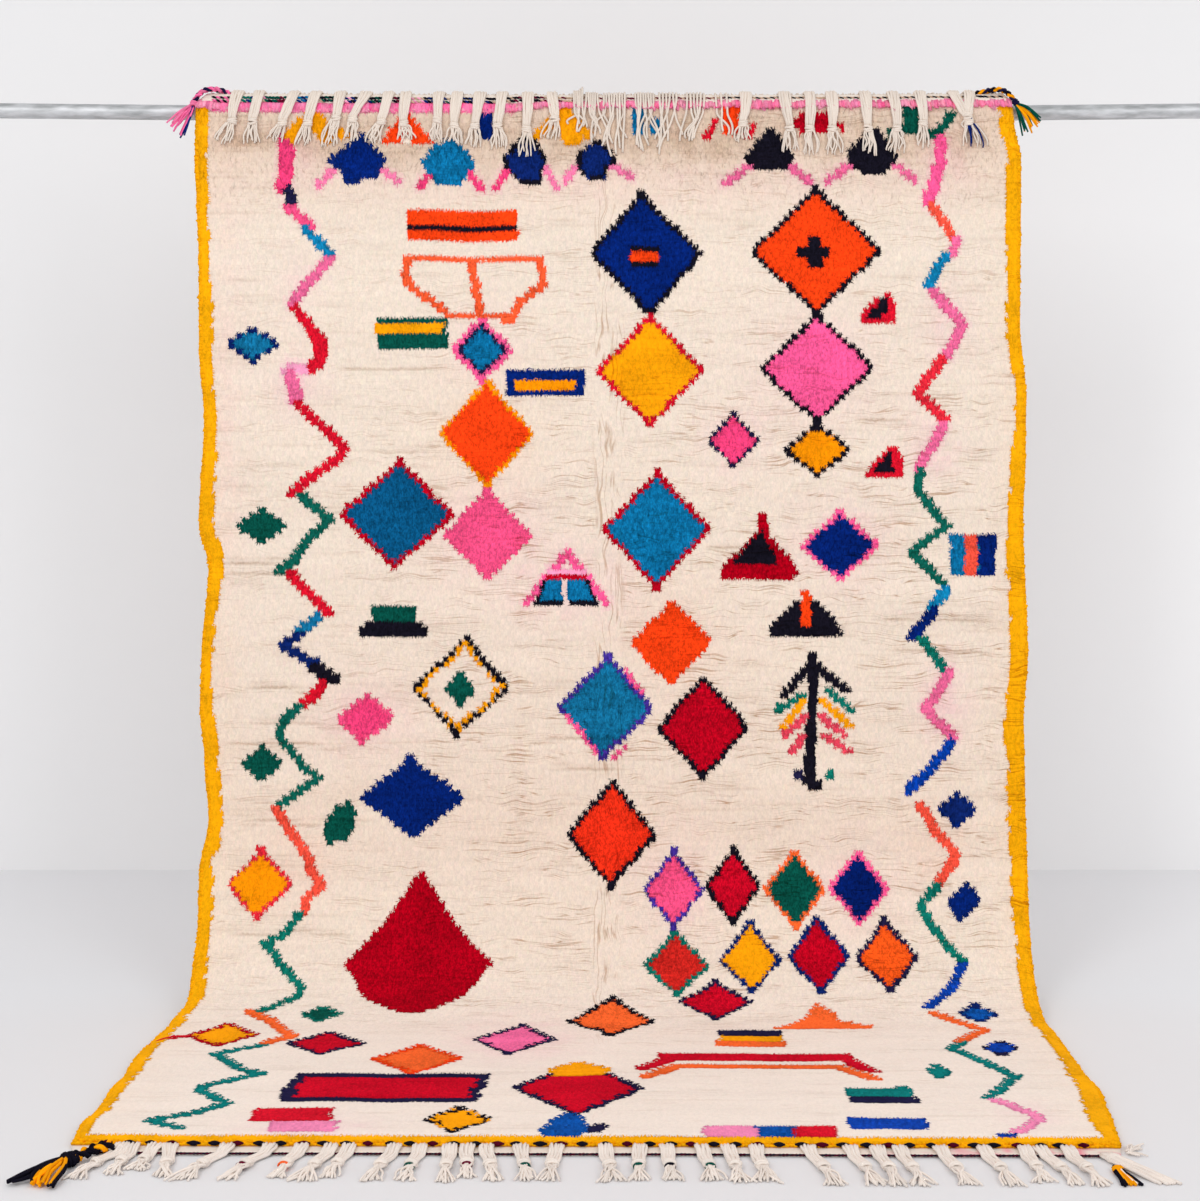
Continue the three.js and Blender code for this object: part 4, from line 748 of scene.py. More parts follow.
def wool_material(name, fibre_scale, bump, tone, parted=False):
    """Wool or cotton: the piece's own colours with fibre grain, in colour and in relief.

    tone is how much the grain shows on a dark dye. A pale one shows a quarter of it, and less in a parted pile, which
    has clumps of fibres, and hairline gaps between them.
    """
    look = Look(name)
    place = look.add("UVMap", {}, uv_map="cloth")["UV"]
    fibre = look.grain(place, fibre_scale)
    dye = look.add("VertexColor", {}, layer_name="wool")["Color"]
    grey = look.add("RGBToBW", {"Color": dye})["Val"]
    strength = look.span(grey, 0.1, 0.6, tone, tone * (0.17 if parted else 0.25))
    swing = look.span(fibre, 0.3, 0.7, -1.0, 1.0)
    if parted:
        across, along, _ = look.add("SeparateXYZ", {0: place})
        strength = look.times(strength, look.span(along, *FLOOR_BEND, 1.0, 0.5))
        clumps = look.span(look.grain(place, (150.0, 90.0)), 0.35, 0.65, -1.0, 1.0)
        swing = look.math("ADD", look.times(swing, 0.8), look.times(clumps, 0.6))
    value = look.math("ADD", look.times(swing, strength), 1.0)
    colour, height = look.add("VectorMath", {0: dye, "Scale": value}, operation="SCALE")[0], fibre
    if parted:
        # painted shade: the wool is darkened in the gaps where its yarns part, which the bump also lowers
        gap = partings(look, place, across, along)
        inputs = {"Factor": look.times(gap, 0.8), "A": colour, "B": PARTING_SHADE}
        colour = look.add("Mix", inputs, data_type="RGBA", blend_type="MULTIPLY")["Result"]
        height = look.math("SUBTRACT", look.times(fibre, 0.5), gap)
    relief = look.add("Bump", {"Strength": bump, "Distance": 0.0015, "Height": height})["Normal"]
    look.feed(look.shader, {"Base Color": colour, "Normal": relief, "Roughness": 1.0, "Specular IOR Level": 0.04})
    return look.material


def steel_material():
    look = Look("galvanised_steel")
    place = look.add("TexCoord", {})["Object"]
    stretch = look.add("Mapping", {"Scale": (0.25, 1, 1), "Vector": place})["Vector"]
    spangle = look.add("TexNoise", {"Scale": 90.0, "Detail": 4.0, "Vector": stretch})["Fac"]
    tone = look.add("ValToRGB", {"Fac": spangle})["Color"]
    for stop, position, grey in zip(tone.node.color_ramp.elements, (0.35, 0.68), STEEL_GREYS):
        stop.position, stop.color = position, grey
    rough = look.add("MapRange", {"To Min": 0.45, "To Max": 0.62, "Value": spangle})["Result"]
    look.feed(look.shader, {"Base Color": tone, "Roughness": rough, "Metallic": 0.7})
    return look.material


def plain_material(name, colour, roughness):
    look = Look(name)
    look.feed(look.shader, {"Base Color": (*colour, 1), "Roughness": roughness})
    return look.material


PILE_WOOL = wool_material("pile_wool", (360.0, 190.0), 0.4, 0.36, parted=True)
GROUND_WOOL = wool_material("ground_weave", (300.0, 500.0), 0.5, 0.08)
YARN = wool_material("twisted_yarn", (300.0, 900.0), 0.4, 0.10)
STEEL = steel_material()

# ---- Ground weave ----
HEAD_TIP, HEAD_TOP = 0.009, 0.0225  # the heading's height over the back at its tip and over the rail
TWINE_S = 0.0312
PILE_FROM = 0.0335
PILE_TO = RUG_LENGTH - BOTTOM_WEAVE - 0.004
HEADING_ROWS, COVERED_ROWS, FRONT_ROWS = 13, 196, 5  # lines of points in the weave, from the top end to the front
GROUND_COLUMNS = 131


def ground_lift(s):
    """Height of the woven face over the back: the doubled heading, then the weave under the pile."""
    crown = LOOP_RADIUS * LOOP_BACK
    head = np.where(
        s < crown,
        HEAD_TIP + (HEAD_TOP - HEAD_TIP) * smooth(s, 0, crown * 0.8),
        HEAD_TOP - 0.0045 * smooth(s, crown, PILE_FROM),
    )
    under_pile = WEAVE + 0.003 * (1 - smooth(s, PILE_TO - 0.02, PILE_TO))
    return head + (under_pile - head) * smooth(s, PILE_FROM - 0.0005, PILE_FROM + 0.004)


def sides_at(s):
    return -(HALF_WIDTH + side_out(s, False)), HALF_WIDTH + side_out(s, True)


def build_ground():
    """A closed sheet with a face and a back, on a grid of weave-sized cells."""
    s = np.concatenate([
        np.linspace(0, PILE_FROM - 0.0005, HEADING_ROWS),
        np.linspace(PILE_FROM + 0.004, PILE_TO - 0.004, COVERED_ROWS),
        np.linspace(PILE_TO, RUG_LENGTH, FRONT_ROWS),
    ])[:, None]
    share = np.linspace(0, 1, GROUND_COLUMNS)
    left, right = sides_at(s)
    u, s = together(left + (right - left) * share, s)
    lift = ground_lift(s) + crease(u, s)
    lift = lift - (lift - 0.003) * 0.5 * smooth(np.abs(share - 0.5), 0.4985, 0.5)
    face_quads = grid_quads(*u.shape)
    back_quads = face_quads[:, [0, 3, 2, 1]] + u.size
    index = np.arange(u.size).reshape(u.shape)
    rim = np.concatenate([index[0, :-1], index[:-1, -1], index[-1, :0:-1], index[:0:-1, 0]])
    after = np.roll(rim, -1)
    rim_quads = np.stack([rim, after, after + u.size, rim + u.size], -1)
    colour, _ = paint(u / CM, s / CM)
    woven = ((s < PILE_FROM) | (s > PILE_TO + 0.004))[..., None]
    stain = 0.6 * smooth(u, 0.3, 0.7) * np.clip(0.2 + 1.6 * noise(u / 0.018, s / 0.01, 73), 0, 1) * (s > PILE_TO)
    # under the pile the weave's face gets the pattern darkened to 0.55, as painted shade
    face_colour = np.where(woven, mixed(WOOL["cotton"], "rose", stain[..., None]), colour * 0.55)
    back_colour = np.where(woven, WOOL["cotton"], colour * 0.75 + WOOL["cream"] * 0.18)
    flat = np.stack([(u + 0.86) / 5.4, s / 2.7], -1)
    soup = Soup()
    soup.add(
        np.stack([rug_point(u, s, lift), rug_point(u, s, 0.0)]),
        np.concatenate([face_quads, back_quads, rim_quads]),
        colours=np.stack([face_colour, back_colour]),
        flat=np.stack([flat, flat + [0.5, 0]]),
    )
    return soup.build("rug_ground", GROUND_WOOL)


# ---- Pile ----
ROW_PITCH = 0.0100
KNOTS_ACROSS = 320
PILE_PARTS = 4
PILE_TOP = 0.0150  # height of the pile's face over the back
PARTED_SHADE = np.array([0.72, 0.64, 0.58])  # how much of each colour is left in a deep crack
# Cracks between rows: s, from u, to u, and depth.
CRACKS = [
    (54.5, -55, -31, 0.5), (64.8, 46, 61, 0.6), (89.8, 17, 37, 0.6), (92.5, -77, -60, 0.7), (94.5, -77, -58, 0.5),
    (103.4, 50, 77, 0.5), (109.5, 52, 76, 0.55), (116.6, -73, -56, 0.6), (123.8, -72, -50, 0.5),
    (128.2, -77, -49, 0.5), (126.8, -18, 6, 0.5), (132.4, -14, 4, 0.5), (143, -74, -45, 0.5), (165.2, -75, -48, 0.5),
]


def crack_depth(u, s):
    """How deep the rows part at a place in cm, from 0 to 1: the listed cracks and many faint ones."""
    depth = np.clip(noise(u / 9 + 40, s / 1.1, 21) - 0.45, 0, 1) * 0.5
    for cs, left, right, amount in CRACKS:
        wave = cs + 0.7 * noise(u / 5, cs, 22)
        span = smooth(u, left, left + 5) * (1 - smooth(u, right - 5, right))
        depth = np.maximum(depth, amount * span * np.exp(-(((s - wave) / 0.6) ** 2)))
    return depth


def pile_height(u, s):
    """Height of the pile's face over the back, lower at the sides and ends."""
    left, right = sides_at(s)
    rim = 1 - (1 - smooth(np.minimum(u - left, right - u), 0.0, 0.012)) * 0.55
    top = 0.86 + 0.14 * smooth(s, PILE_FROM, PILE_FROM + 0.008)
    front = 0.65 + 0.35 * (1 - smooth(s, PILE_TO - 0.03, PILE_TO - 0.005))
    heading = 0.0042 * (1 - smooth(s, PILE_FROM, 0.075))
    return (PILE_TOP + heading + 0.0009 * noise(u / 0.05, s / 0.05, 32) + crease(u, s) * 0.8) * rim * top * front


def row_wave(u, s):
    """How far a row of knots strays along the cloth."""
    ends = smooth(s, PILE_FROM + 0.01, PILE_FROM + 0.05) * (1 - smooth(s, PILE_TO - 0.05, PILE_TO - 0.015))
    return ends * 0.0026 * noise(u / 0.09, s / 0.3, 31)


class Knots:
    """The grid of knots: where each row starts, each knot's middle, its colour and its dye."""

    def __init__(self):
        rng = np.random.default_rng(42)
        self.rows = int((PILE_TO - PILE_FROM) / ROW_PITCH)
        self.pitch = (PILE_TO - PILE_FROM) / self.rows
        self.s = PILE_FROM + np.arange(self.rows) * self.pitch
        self.left, self.right = sides_at(self.s)
        self.u = u = self.left[:, None] + (self.right - self.left)[:, None] * spaced(KNOTS_ACROSS)
        s = self.s[:, None]
        colour, self.dye = paint(u / CM, (s + 0.5 * self.pitch) / CM)
        # The wool is more even on the floor. Blue dyes vary more than the others.
        calm = 0.8 - 0.5 * smooth(s, 1.75, 2.0)
        lively = 0.6 + 2.0 * smooth(colour[..., 2] - colour[..., 0], 0.08, 0.36)
        bright = 1 + calm * rng.normal(0, 0.02, u.shape) + 0.02 * noise(u / 0.15, s / 0.02, 35)
        shades = 0.14 * noise(u / 0.05 + 5, s / 0.035, 39) + lively * rng.normal(0, 0.05, u.shape)
        bright += shades * (self.dye > 0)
        self.colour = colour * bright[..., None] * (1 + calm[..., None] * rng.normal(0, 0.01, u.shape + (3,)))
        # Each knot's lean to the side, how far it hangs over the next row, and how far its sides stray.
        self.lean = 0.0010 * noise(u / 0.03, s / 0.05, 34) + rng.normal(0, 0.0006, u.shape)
        self.hang = 0.0010 * noise(u / 0.05, s / 0.05, 36) + rng.normal(0, 0.0009, u.shape)
        self.spread = np.zeros((self.rows, KNOTS_ACROSS + 1))
        dyed = (self.dye > 0).astype(float)
        self.spread[:, 1:-1] = (dyed[:, :-1] - dyed[:, 1:]) * 0.0010
        self.spread += rng.normal(0, 0.0007, self.spread.shape)


def build_pile(knots):
    """The face of the pile: two lines of points a row and one column a knot, with the rows' soft relief."""
    rng = np.random.default_rng(41)
    columns = np.arange(KNOTS_ACROSS + 1)
    border = columns % 2 == 0
    knot_index = np.clip(columns, 0, KNOTS_ACROSS - 1)
    left, right = knots.left[:, None], knots.right[:, None]
    u0, s0 = together(left + (right - left) * (columns / KNOTS_ACROSS), knots.s[:, None])
    edge = np.minimum(u0 - left, right - u0)
    crack = crack_depth(u0 / CM, s0 / CM)
    lean = (knots.spread + knots.lean[:, knot_index] * 0.6) * smooth(edge, 0.0, 0.02)
    above = np.concatenate([knots.hang[:1] * 0, knots.hang[:-1]])[:, knot_index]
    jag = (np.where(border, -0.0010, 0.0008) + above) * smooth(s0, PILE_FROM, PILE_FROM + 0.01)
    valley = 0.0001 + 0.0010 * np.clip(0.1 + noise(u0 / 0.12, s0 / 0.025, 33), 0, 1) + 0.0055 * crack
    dome = np.where(border, -0.0003, 0.0002)
    dark = 1 - (1 - PARTED_SHADE) * np.clip(1.5 * crack, 0, 1)[..., None]
    lines = []
    for share, drop, shade in ((0.0, 1.0, dark), (0.5, 0.0, np.ones(dark.shape))):
        s = s0 + row_wave(u0, s0) + share * knots.pitch + jag * drop
        lift = pile_height(u0, s0 + share * knots.pitch) - valley * drop + dome + rng.normal(0, 0.00018, u0.shape)
        stray = rng.normal(0, 0.0008, u0.shape) * border * smooth(edge, 0.0, 0.02)
        lines.append((u0 + lean + stray, s, lift, shade))
    # The two lines of each row in turn, and one more that closes the pile on the front weave.
    u, s, lift, shade = (np.stack(pair, 1).reshape(-1, *pair[0].shape[1:]) for pair in zip(*lines))
    u = np.concatenate([u, u0[-1:]])
    s = np.concatenate([s, np.full(u0[-1:].shape, PILE_TO + 0.001)])
    lift = np.concatenate([lift, np.full(u0[-1:].shape, 0.004)])
    shade = np.concatenate([shade, np.ones(dark[-1:].shape)])
    pieces = []
    for k, block in enumerate(np.array_split(np.arange(knots.rows), PILE_PARTS)):
        part = slice(2 * block[0], 2 * block[-1] + 3)
        points = rug_point(u[part], s[part], np.maximum(lift[part], 0.0015))
        count, width = points.shape[:2]
        flat = together(0.01 + 0.98 * columns / KNOTS_ACROSS, 0.01 + 0.98 * np.arange(count)[:, None] / count)
        soup = Soup()
        soup.add(points, grid_quads(count, width), colours=shade[part], flat=np.stack(flat, -1),
                 cloth=np.stack([u[part], s[part]], -1), dyes=np.repeat(knots.colour[block], 2, 0).reshape(-1, 3))
        pieces.append(soup.build(f"rug_pile_{k + 1}", PILE_WOOL))
    return pieces


def yarn_ends(knots):
    """Where each pointed yarn end starts, its way, its length, and the row and knot whose colour it has."""
    rng = np.random.default_rng(44)
    dye, pitch = knots.dye, knots.pitch
    # across a change of dye along a row
    row, knot_at = np.nonzero(dye[:, :-1] != dye[:, 1:])
    inner = (dye[row, knot_at] > 0) & ((dye[row, knot_at + 1] == 0) | (rng.random(len(row)) < 0.5))
    way = np.where(inner, 1, -1)
    between = (knots.u[row, knot_at] + knots.u[row, knot_at + 1]) / 2
    level = smooth(knots.s[row], 1.7, 2.0)
    for n in range(4):
        angle = rng.uniform(-0.2, 1.25, len(row)) * (1 - 0.6 * level)
        length = rng.uniform(0.0036, 0.0078, len(row)) * (1 + 0.25 * level)
        along = pitch * (0.06 + 0.27 * n) + rng.uniform(-0.0012, 0.0012, len(row))
        yield (between - way * 0.0015, knots.s[row] + along, way * np.cos(angle), np.sin(angle), length, row,
               np.where(inner, knot_at, knot_at + 1))
    # over a change of dye from row to row
    row, knot_at = np.nonzero(dye[:-1] != dye[1:])
    for n in range(2):
        angle = rng.normal(0, 0.35, len(row))
        across = (n - 0.5) * 0.0025 + rng.uniform(-0.0009, 0.0009, len(row))
        yield (knots.u[row, knot_at] + across, knots.s[row + 1] - 0.0014, np.sin(angle), np.cos(angle),
               rng.uniform(0.0034, 0.0078, len(row)), row, knot_at)
    # upwards from a dyed row under a pale one
    above = (dye[row + 1, knot_at] > 0) & (dye[row, knot_at] == 0)
    row, knot_at = row[above] + 1, knot_at[above]
    angle = rng.normal(0, 0.7, len(row))
    yield (knots.u[row, knot_at] + rng.uniform(-0.002, 0.002, len(row)), knots.s[row] + 0.0016, np.sin(angle),
           -np.cos(angle), rng.uniform(0.0030, 0.0056, len(row)), row, knot_at)
    # long ones in the top rows
    row, knot_at = np.nonzero(rng.random(dye.shape) < 1.25 - knots.s[:, None] * 5.5)
    angle = rng.normal(0, 0.3, len(row))
    across = rng.uniform(-0.0025, 0.0025, len(row))
    yield (knots.u[row, knot_at] + across, knots.s[row] + rng.uniform(0, pitch, len(row)), np.sin(angle),
           np.cos(angle), rng.uniform(0.0080, 0.0135, len(row)), row, knot_at)


def build_tips(knots):
    """Pointed yarn ends, which give the motifs toothed outlines and cover the top's long pile."""
    rng = np.random.default_rng(45)
    ends = [np.concatenate(parts) for parts in zip(*yarn_ends(knots))]
    # The four corners of an end: two at its root, its ridge and its tip.
    side, ahead = np.array([-1, 1, 0, 0]), np.array([0, 0, 0.4, 1])
    rise = np.array([-0.0006, -0.0006, 0.0013, 0.0004])
    local = np.array([(-0.35, -0.35), (0.35, -0.35), (0, 0), (0, 0.4)])
    pieces = []
    for part, chosen in enumerate((ends[1] < 1.1, ends[1] >= 1.1)):
        u, s, way_u, way_s, reach, row, knot_at = (values[chosen] for values in ends)
        n = len(u)
        s = s + row_wave(u, s)
        u, s, way_u, way_s, reach = (values[:, None] for values in (u, s, way_u, way_s, reach))
        half = rng.uniform(0.0011, 0.0017, n)[:, None]
        all_u = u + way_s * half * side + way_u * reach * ahead
        all_s = np.clip(s - way_u * half * side + way_s * reach * ahead, 0, RUG_LENGTH - 0.004)
        points = rug_point(all_u, all_s, pile_height(all_u, np.maximum(all_s, PILE_FROM)) + rise)
        colour = knots.colour[row, knot_at] * rng.uniform(0.88, 1.08, (n, 1))
        tris = np.array([(0, 3, 2), (2, 3, 1), (0, 2, 1)]) + 4 * np.arange(n)[:, None, None]
        soup = Soup()
        soup.add(points, tris=tris, colours=np.repeat(colour, 4, 0), flat=squares(n, local),
                 cloth=np.stack([all_u, all_s], -1))
        pieces.append(soup.build(f"rug_yarn_ends_{part + 1}", PILE_WOOL))
    return pieces


# Of the locks at the pile's edges: their width, and the steps between them along the sides, the top and the front.
TUFT_SIZE = 0.0088
SIDE_STEP, TOP_STEP, FRONT_STEP = 0.0064, 0.0065, 0.0075
SIDE_TUFTS = ((0.0052, 0.0006, 0.0080), (0.0072, 0.0010, 0.0124))  # how far in they start, lean out and stand up


def build_tufts():
    """Single locks along the sides and the two ends, where the pile is seen from its side."""
    rng = np.random.default_rng(43)
    # Each lock's root, and how far its tip lies across, down the cloth and up from it.
    spots = []
    for s in np.arange(PILE_FROM + 0.003, PILE_TO, SIDE_STEP):
        for edge, way in zip(sides_at(s), (-1, 1)):
            for depth, out, up in SIDE_TUFTS:
                spots.append((edge - way * depth, s + rng.normal(0, 0.0012), way * out, 0.0045, up))
    left, right = sides_at(PILE_FROM)
    for u in np.arange(left + 0.004, right, TOP_STEP):
        climb = max(smooth(u, PINK_SLOPE[0] * CM, PINK_SLOPE[1] * CM), 0.7 - 0.7 * smooth(u, -0.785, -0.760))
        spots.append((u, PILE_FROM + 0.0002 - 0.0058 * climb, 0, 0.0105 + 0.0022 * climb, 0.0210 + 0.0044 * climb))
    left, right = sides_at(PILE_TO)
    for u in np.arange(left + 0.004, right, FRONT_STEP):
        spots.append((u, PILE_TO - 0.003, 0, 0.0055, 0.0090))
        spots.append((u + 0.003, PILE_TO - 0.008, 0, 0.0075, 0.0125))
    u, s, across, down, up = np.array(spots, float).T[..., None]
    n = len(u)
    across = across + rng.normal(0, 0.0011, (n, 1))
    down = down + rng.normal(0, 0.0010, (n, 1))
    up = up + rng.normal(0, 0.0007, (n, 1))
    size = TUFT_SIZE * (1 + rng.normal(0, 0.1, (n, 1)))
    turn = rng.normal(0, 0.25, (n, 1))
    colour, _ = paint(u[:, 0] / CM, s[:, 0] / CM)
    colour = mixed(colour, "cream", rng.uniform(0, 0.25, (n, 1)) * (s < 0.05)) * (1 + rng.normal(0, 0.05, (n, 1)))
    corner = np.array([(-1, -1), (1, -1), (1, 1), (-1, 1)], float)
    ridge = np.array([(-1, -0.3), (1, 0.3)], float)
    rings = []
    for share, wide, places, lift in ((0.0, 1.0, corner, 0.1), (0.55, 1.1, corner, 0.7), (1.0, 0.6, ridge, 1.0)):
        x, y = (value * size / 2 * wide for value in places.T)
        ring_u = u + x * np.cos(turn) - y * np.sin(turn) + across * share
        ring_s = s + x * np.sin(turn) + y * np.cos(turn) + down * share
        rings.append((ring_u, ring_s, 0.002 + (up - 0.002) * lift + 0 * x))
    all_u, all_s, lift = (np.concatenate(values, -1) for values in zip(*rings))
    points = rug_point(all_u, np.clip(all_s, 0, RUG_LENGTH - 0.003), lift)
    shade = np.array([0.7] * 4 + [0.97] * 4 + [1.05] * 2)[:, None]
    quads = np.array([(0, 1, 5, 4), (1, 2, 6, 5), (2, 3, 7, 6), (3, 0, 4, 7), (4, 5, 9, 8), (6, 7, 8, 9)])
    tris = np.array([(5, 6, 9), (7, 4, 8)])
    base = np.arange(n)[:, None, None] * 10
    soup = Soup()
    soup.add(points, quads + base, tris + base, colour[:, None] * shade,
             squares(n, np.concatenate([corner * 0.45, corner * 0.3, ridge * 0.1])), np.stack([all_u, all_s], -1))
    return soup.build("rug_edge_tufts", PILE_WOOL)


# ---- Rail ----
def build_rail():
    soup = Soup()
    sides, steps = 48, 40
    x = np.linspace(-RAIL_LENGTH / 2, RAIL_LENGTH / 2, steps)
    angle = np.linspace(0, TURN, sides, endpoint=False)
    circle = np.stack([np.cos(angle), np.sin(angle)], -1)
    axis = np.stack([x, np.full(steps, RAIL_Y), RAIL_HEIGHT + bow(x)], -1)
    ring = axis[:, None] + RAIL_RADIUS * np.insert(circle, 0, 0, 1)
    flat = np.stack(together((x[:, None] + 1.25) / 2.6, angle / TURN * 0.04), -1)
    soup.add(ring, ring_quads(steps, sides), flat=flat)
    k = np.arange(sides)
    disc = np.stack([0 * k, 1 + k, 1 + (k + 1) % sides], -1)
    place = np.concatenate([[[0.5, 0.5]], 0.5 + 0.02 * circle])
    for end, order, shift in ((0, [0, 2, 1], 0.0), (-1, [0, 1, 2], 0.2)):
        soup.add(np.concatenate([axis[end, None], ring[end]]), tris=disc[:, order], flat=place + [shift, 0])
    return soup.build("rail_tube", STEEL)


# ---- Fringe of the top end ----
STRANDS_TO_KNOT = np.arange(-3, 4) / 3  # where each strand of a bunch lies across it, above its knot
TOP_STRANDS, FLOOR_STRANDS = 9, 14  # in each bunch below its knot
TOP_LINE = HANG_TOP + LOOP_RADIUS + 0.0185
# mm: root and knot across, the knot's drop, the fan's sides, the tips' drop.
TOP_STRAPS = [
    (-732, -738, 50, -770, -738, 98), (-689, -698, 50, -716, -686, 98), (-621, -640, 53, -668, -640, 94),
    (-578, -591, 53, -615, -586, 100), (-529, -535, 42, -564, -536, 102), (-480, -503, 46, -524, -494, 92),
    (-435, -447, 50, -474, -448, 98), (-402, -404, 53, -420, -384, 94), (-336, -338, 47, -350, -330, 94),
    (-301, -305, 57, -321, -291, 100), (-256, -265, 58, -282, -254, 103), (-213, -221, 57, -236, -202, 111),
    (-162, -164, 64, -184, -152, 121), (-115, -109, 43, -136, -104, 90), (265, 258, 53, 242, 270, 92),
    (340, 349, 63, 336, 366, 111), (390, 388, 63, 374, 404, 117), (433, 432, 64, 418, 450, 117),
    (498, 502, 64, 490, 520, 121), (554, 558, 64, 540, 572, 117), (607, 609, 54, 596, 624, 107),
    (672, 698, 52, 686, 736, 106), (704, 696, 40, 690, 708, 72),
]
# Clusters of loose ends, in mm: from, to, count and drop.
LOOSE_ENDS = [
    (-74, -54, 5, 76), (-50, -24, 6, 100), (-16, 30, 9, 117), (46, 86, 8, 114), (92, 132, 6, 100),
    (146, 186, 6, 104), (200, 232, 3, 98),
]


def top_point(u, s, lift):
    """Over the face of the cloth's top end, at u and s in metres."""
    u, s, lift = together(u, s, lift)
    y, z, ny, nz = ground(s)
    face = np.maximum(ground_lift(s), pile_height(u, np.maximum(s, PILE_FROM)) * (s > PILE_FROM - 0.001))
    return np.stack([u, y + ny * (face + lift), z + nz * (face + lift) + bow(u)], -1)


def s_at_drop(drop):
    return LOOP_LENGTH + HANG_TOP - (TOP_LINE - drop)


def build_top_fringe():
    yarns = Yarns(5)
    rng = yarns.rng
    for strap in TOP_STRAPS:
        root, knot_x, drop, left, right, end = (value * MM for value in strap)
        knot_s = s_at_drop(drop)
        s = np.concatenate([np.linspace(-0.003, LOOP_LENGTH, 14), np.linspace(LOOP_LENGTH, knot_s, 4)[1:]])
        x = root + (knot_x - root) * smooth(s, LOOP_LENGTH * 0.5, knot_s)
        t = np.linspace(0, 1, len(s))
        half = 0.0092 - 0.0034 * smooth(s, 0.02, knot_s)
        for k, share in enumerate(STRANDS_TO_KNOT):
            strand_x = x + share * half + 0.0011 * np.sin(TURN * (1.3 * t + rng.random()))
            lift = 0.0036 + 0.0011 * (k % 2) + 0.0006 * np.sin(TURN * (1.1 * t + rng.random())) + 0.0012 * t
            yarns.lay(top_point(strand_x, s, lift), 0.0026, 6, "cotton", (0.96, 1.02))
        yarns.knot(top_point(knot_x, knot_s + 0.004, 0.0052), -UP, RIGHT, FORWARD, 0.0080, 0.0050, "cotton")
        t = np.linspace(0, 1, 10)
        for k, share in enumerate(spaced(TOP_STRANDS)):
            start = knot_x + (share - 0.5) * 0.014
            tip = left - 0.002 + (right - left + 0.004) * share + rng.normal(0, 0.002)
            tip_s = s_at_drop(end * rng.uniform(0.9, 1.02))
            run = knot_s + 0.007 + (tip_s - knot_s - 0.007) * t
            wave = rng.normal(0, 0.0026) * np.sin(np.pi * t) + rng.normal(0, 0.0013) * np.sin(2.7 * np.pi * t)
            x = start + (tip - start) * smooth(t, -0.35, 1.0) + wave
            lift = 0.0030 + 0.004 * (1 - t) ** 2 + rng.uniform(0, 0.0035) * np.sin(np.pi * np.clip(t * 1.1, 0, 1))
            dark = root > 0.66 and k in (2, 3, 7)
            points = top_point(x, run, lift + 0.0015 * dark)
            yarns.lay(points, 0.0019 * (1 - 0.25 * t**3), 5, "navy" if dark else "cotton", (0.93, 1.03))
    # Warp ends left unknotted in the middle of the top end, in small crossing clusters.
    for low, high, count, drop in LOOSE_ENDS:
        for share in spaced(count):
            root = (low + (high - low) * share) * MM
            tip = root + rng.normal(0, 0.012)
            tip_s = s_at_drop(drop * MM * rng.uniform(0.72, 1.04))
            s = np.concatenate([np.linspace(-0.003, LOOP_LENGTH, 10), np.linspace(LOOP_LENGTH, tip_s, 11)[1:]])
            t = np.linspace(0, 1, len(s))
            wave = rng.normal(0, 0.0035) * np.sin(TURN * (1.4 * t + rng.random())) * smooth(t, 0.35, 0.6)
            x = root + (tip - root) * smooth(t, 0.3, 1) + wave
            lift = 0.0024 + rng.uniform(0, 0.004) * np.sin(np.pi * t)
            if low < -60:
                lift = lift + rng.uniform(0.002, 0.011) * np.exp(-(((s - 0.016) / 0.011) ** 2))
            yarns.lay(top_point(x, s, lift), 0.0022, 5, "cotton", (0.93, 1.03))
    return yarns.build("fringe_top_yarn", YARN)


# Twined line under the heading: from and to u in cm, its two colours, and its yarn's thickness in mm.
TWINE = [
    (-78, -73.5, "pink", "black", 2.0), (-73.5, -70.4, "teal", "navy", 2.3), (-70.4, -67.8, "palepink", "beige", 1.6),
    (-67.8, -65.6, "green", "black", 2.4), (-65.6, -63.2, "maroon", "green", 2.4),
    (-63.2, -61.4, "beige", "pink", 1.5), (-61.4, -58.6, "navy", "tealblue", 2.3),
    (-58.6, -56.8, "beige", "black", 1.6), (-56.8, -53.6, "green", "black", 2.2),
    (-53.6, -51, "palepink", "navy", 1.7), (-51, -47, "black", "navy", 2.0), (-47, -43.4, "green", "black", 2.1),
    (-43.4, -40.8, "maroon", "black", 2.2), (-40.8, -36.6, "beige", "palepink", 1.6),
    (-36.6, -33, "navy", "black", 2.2), (-33, -29.4, "beige", "green", 1.7), (-29.4, -24, "black", "navy", 2.0),
    (-24, -19.6, "black", "beige", 1.9), (-19.6, -14, "black", "maroon", 2.0), (-14, -6, "beige", "maroon", 1.5),
    (-6, 22, "maroon", "beige", 1.2), (22, 38, "black", "beige", 1.1), (38, 44, "beige", "black", 1.0),
    (44, 68, "black", "beige", 1.1), (68, 76.5, "black", "beige", 1.3),
]
STITCH_STEP = 0.0070  # between its stitches
CREST_STEP = 0.0046  # between the small loops above it


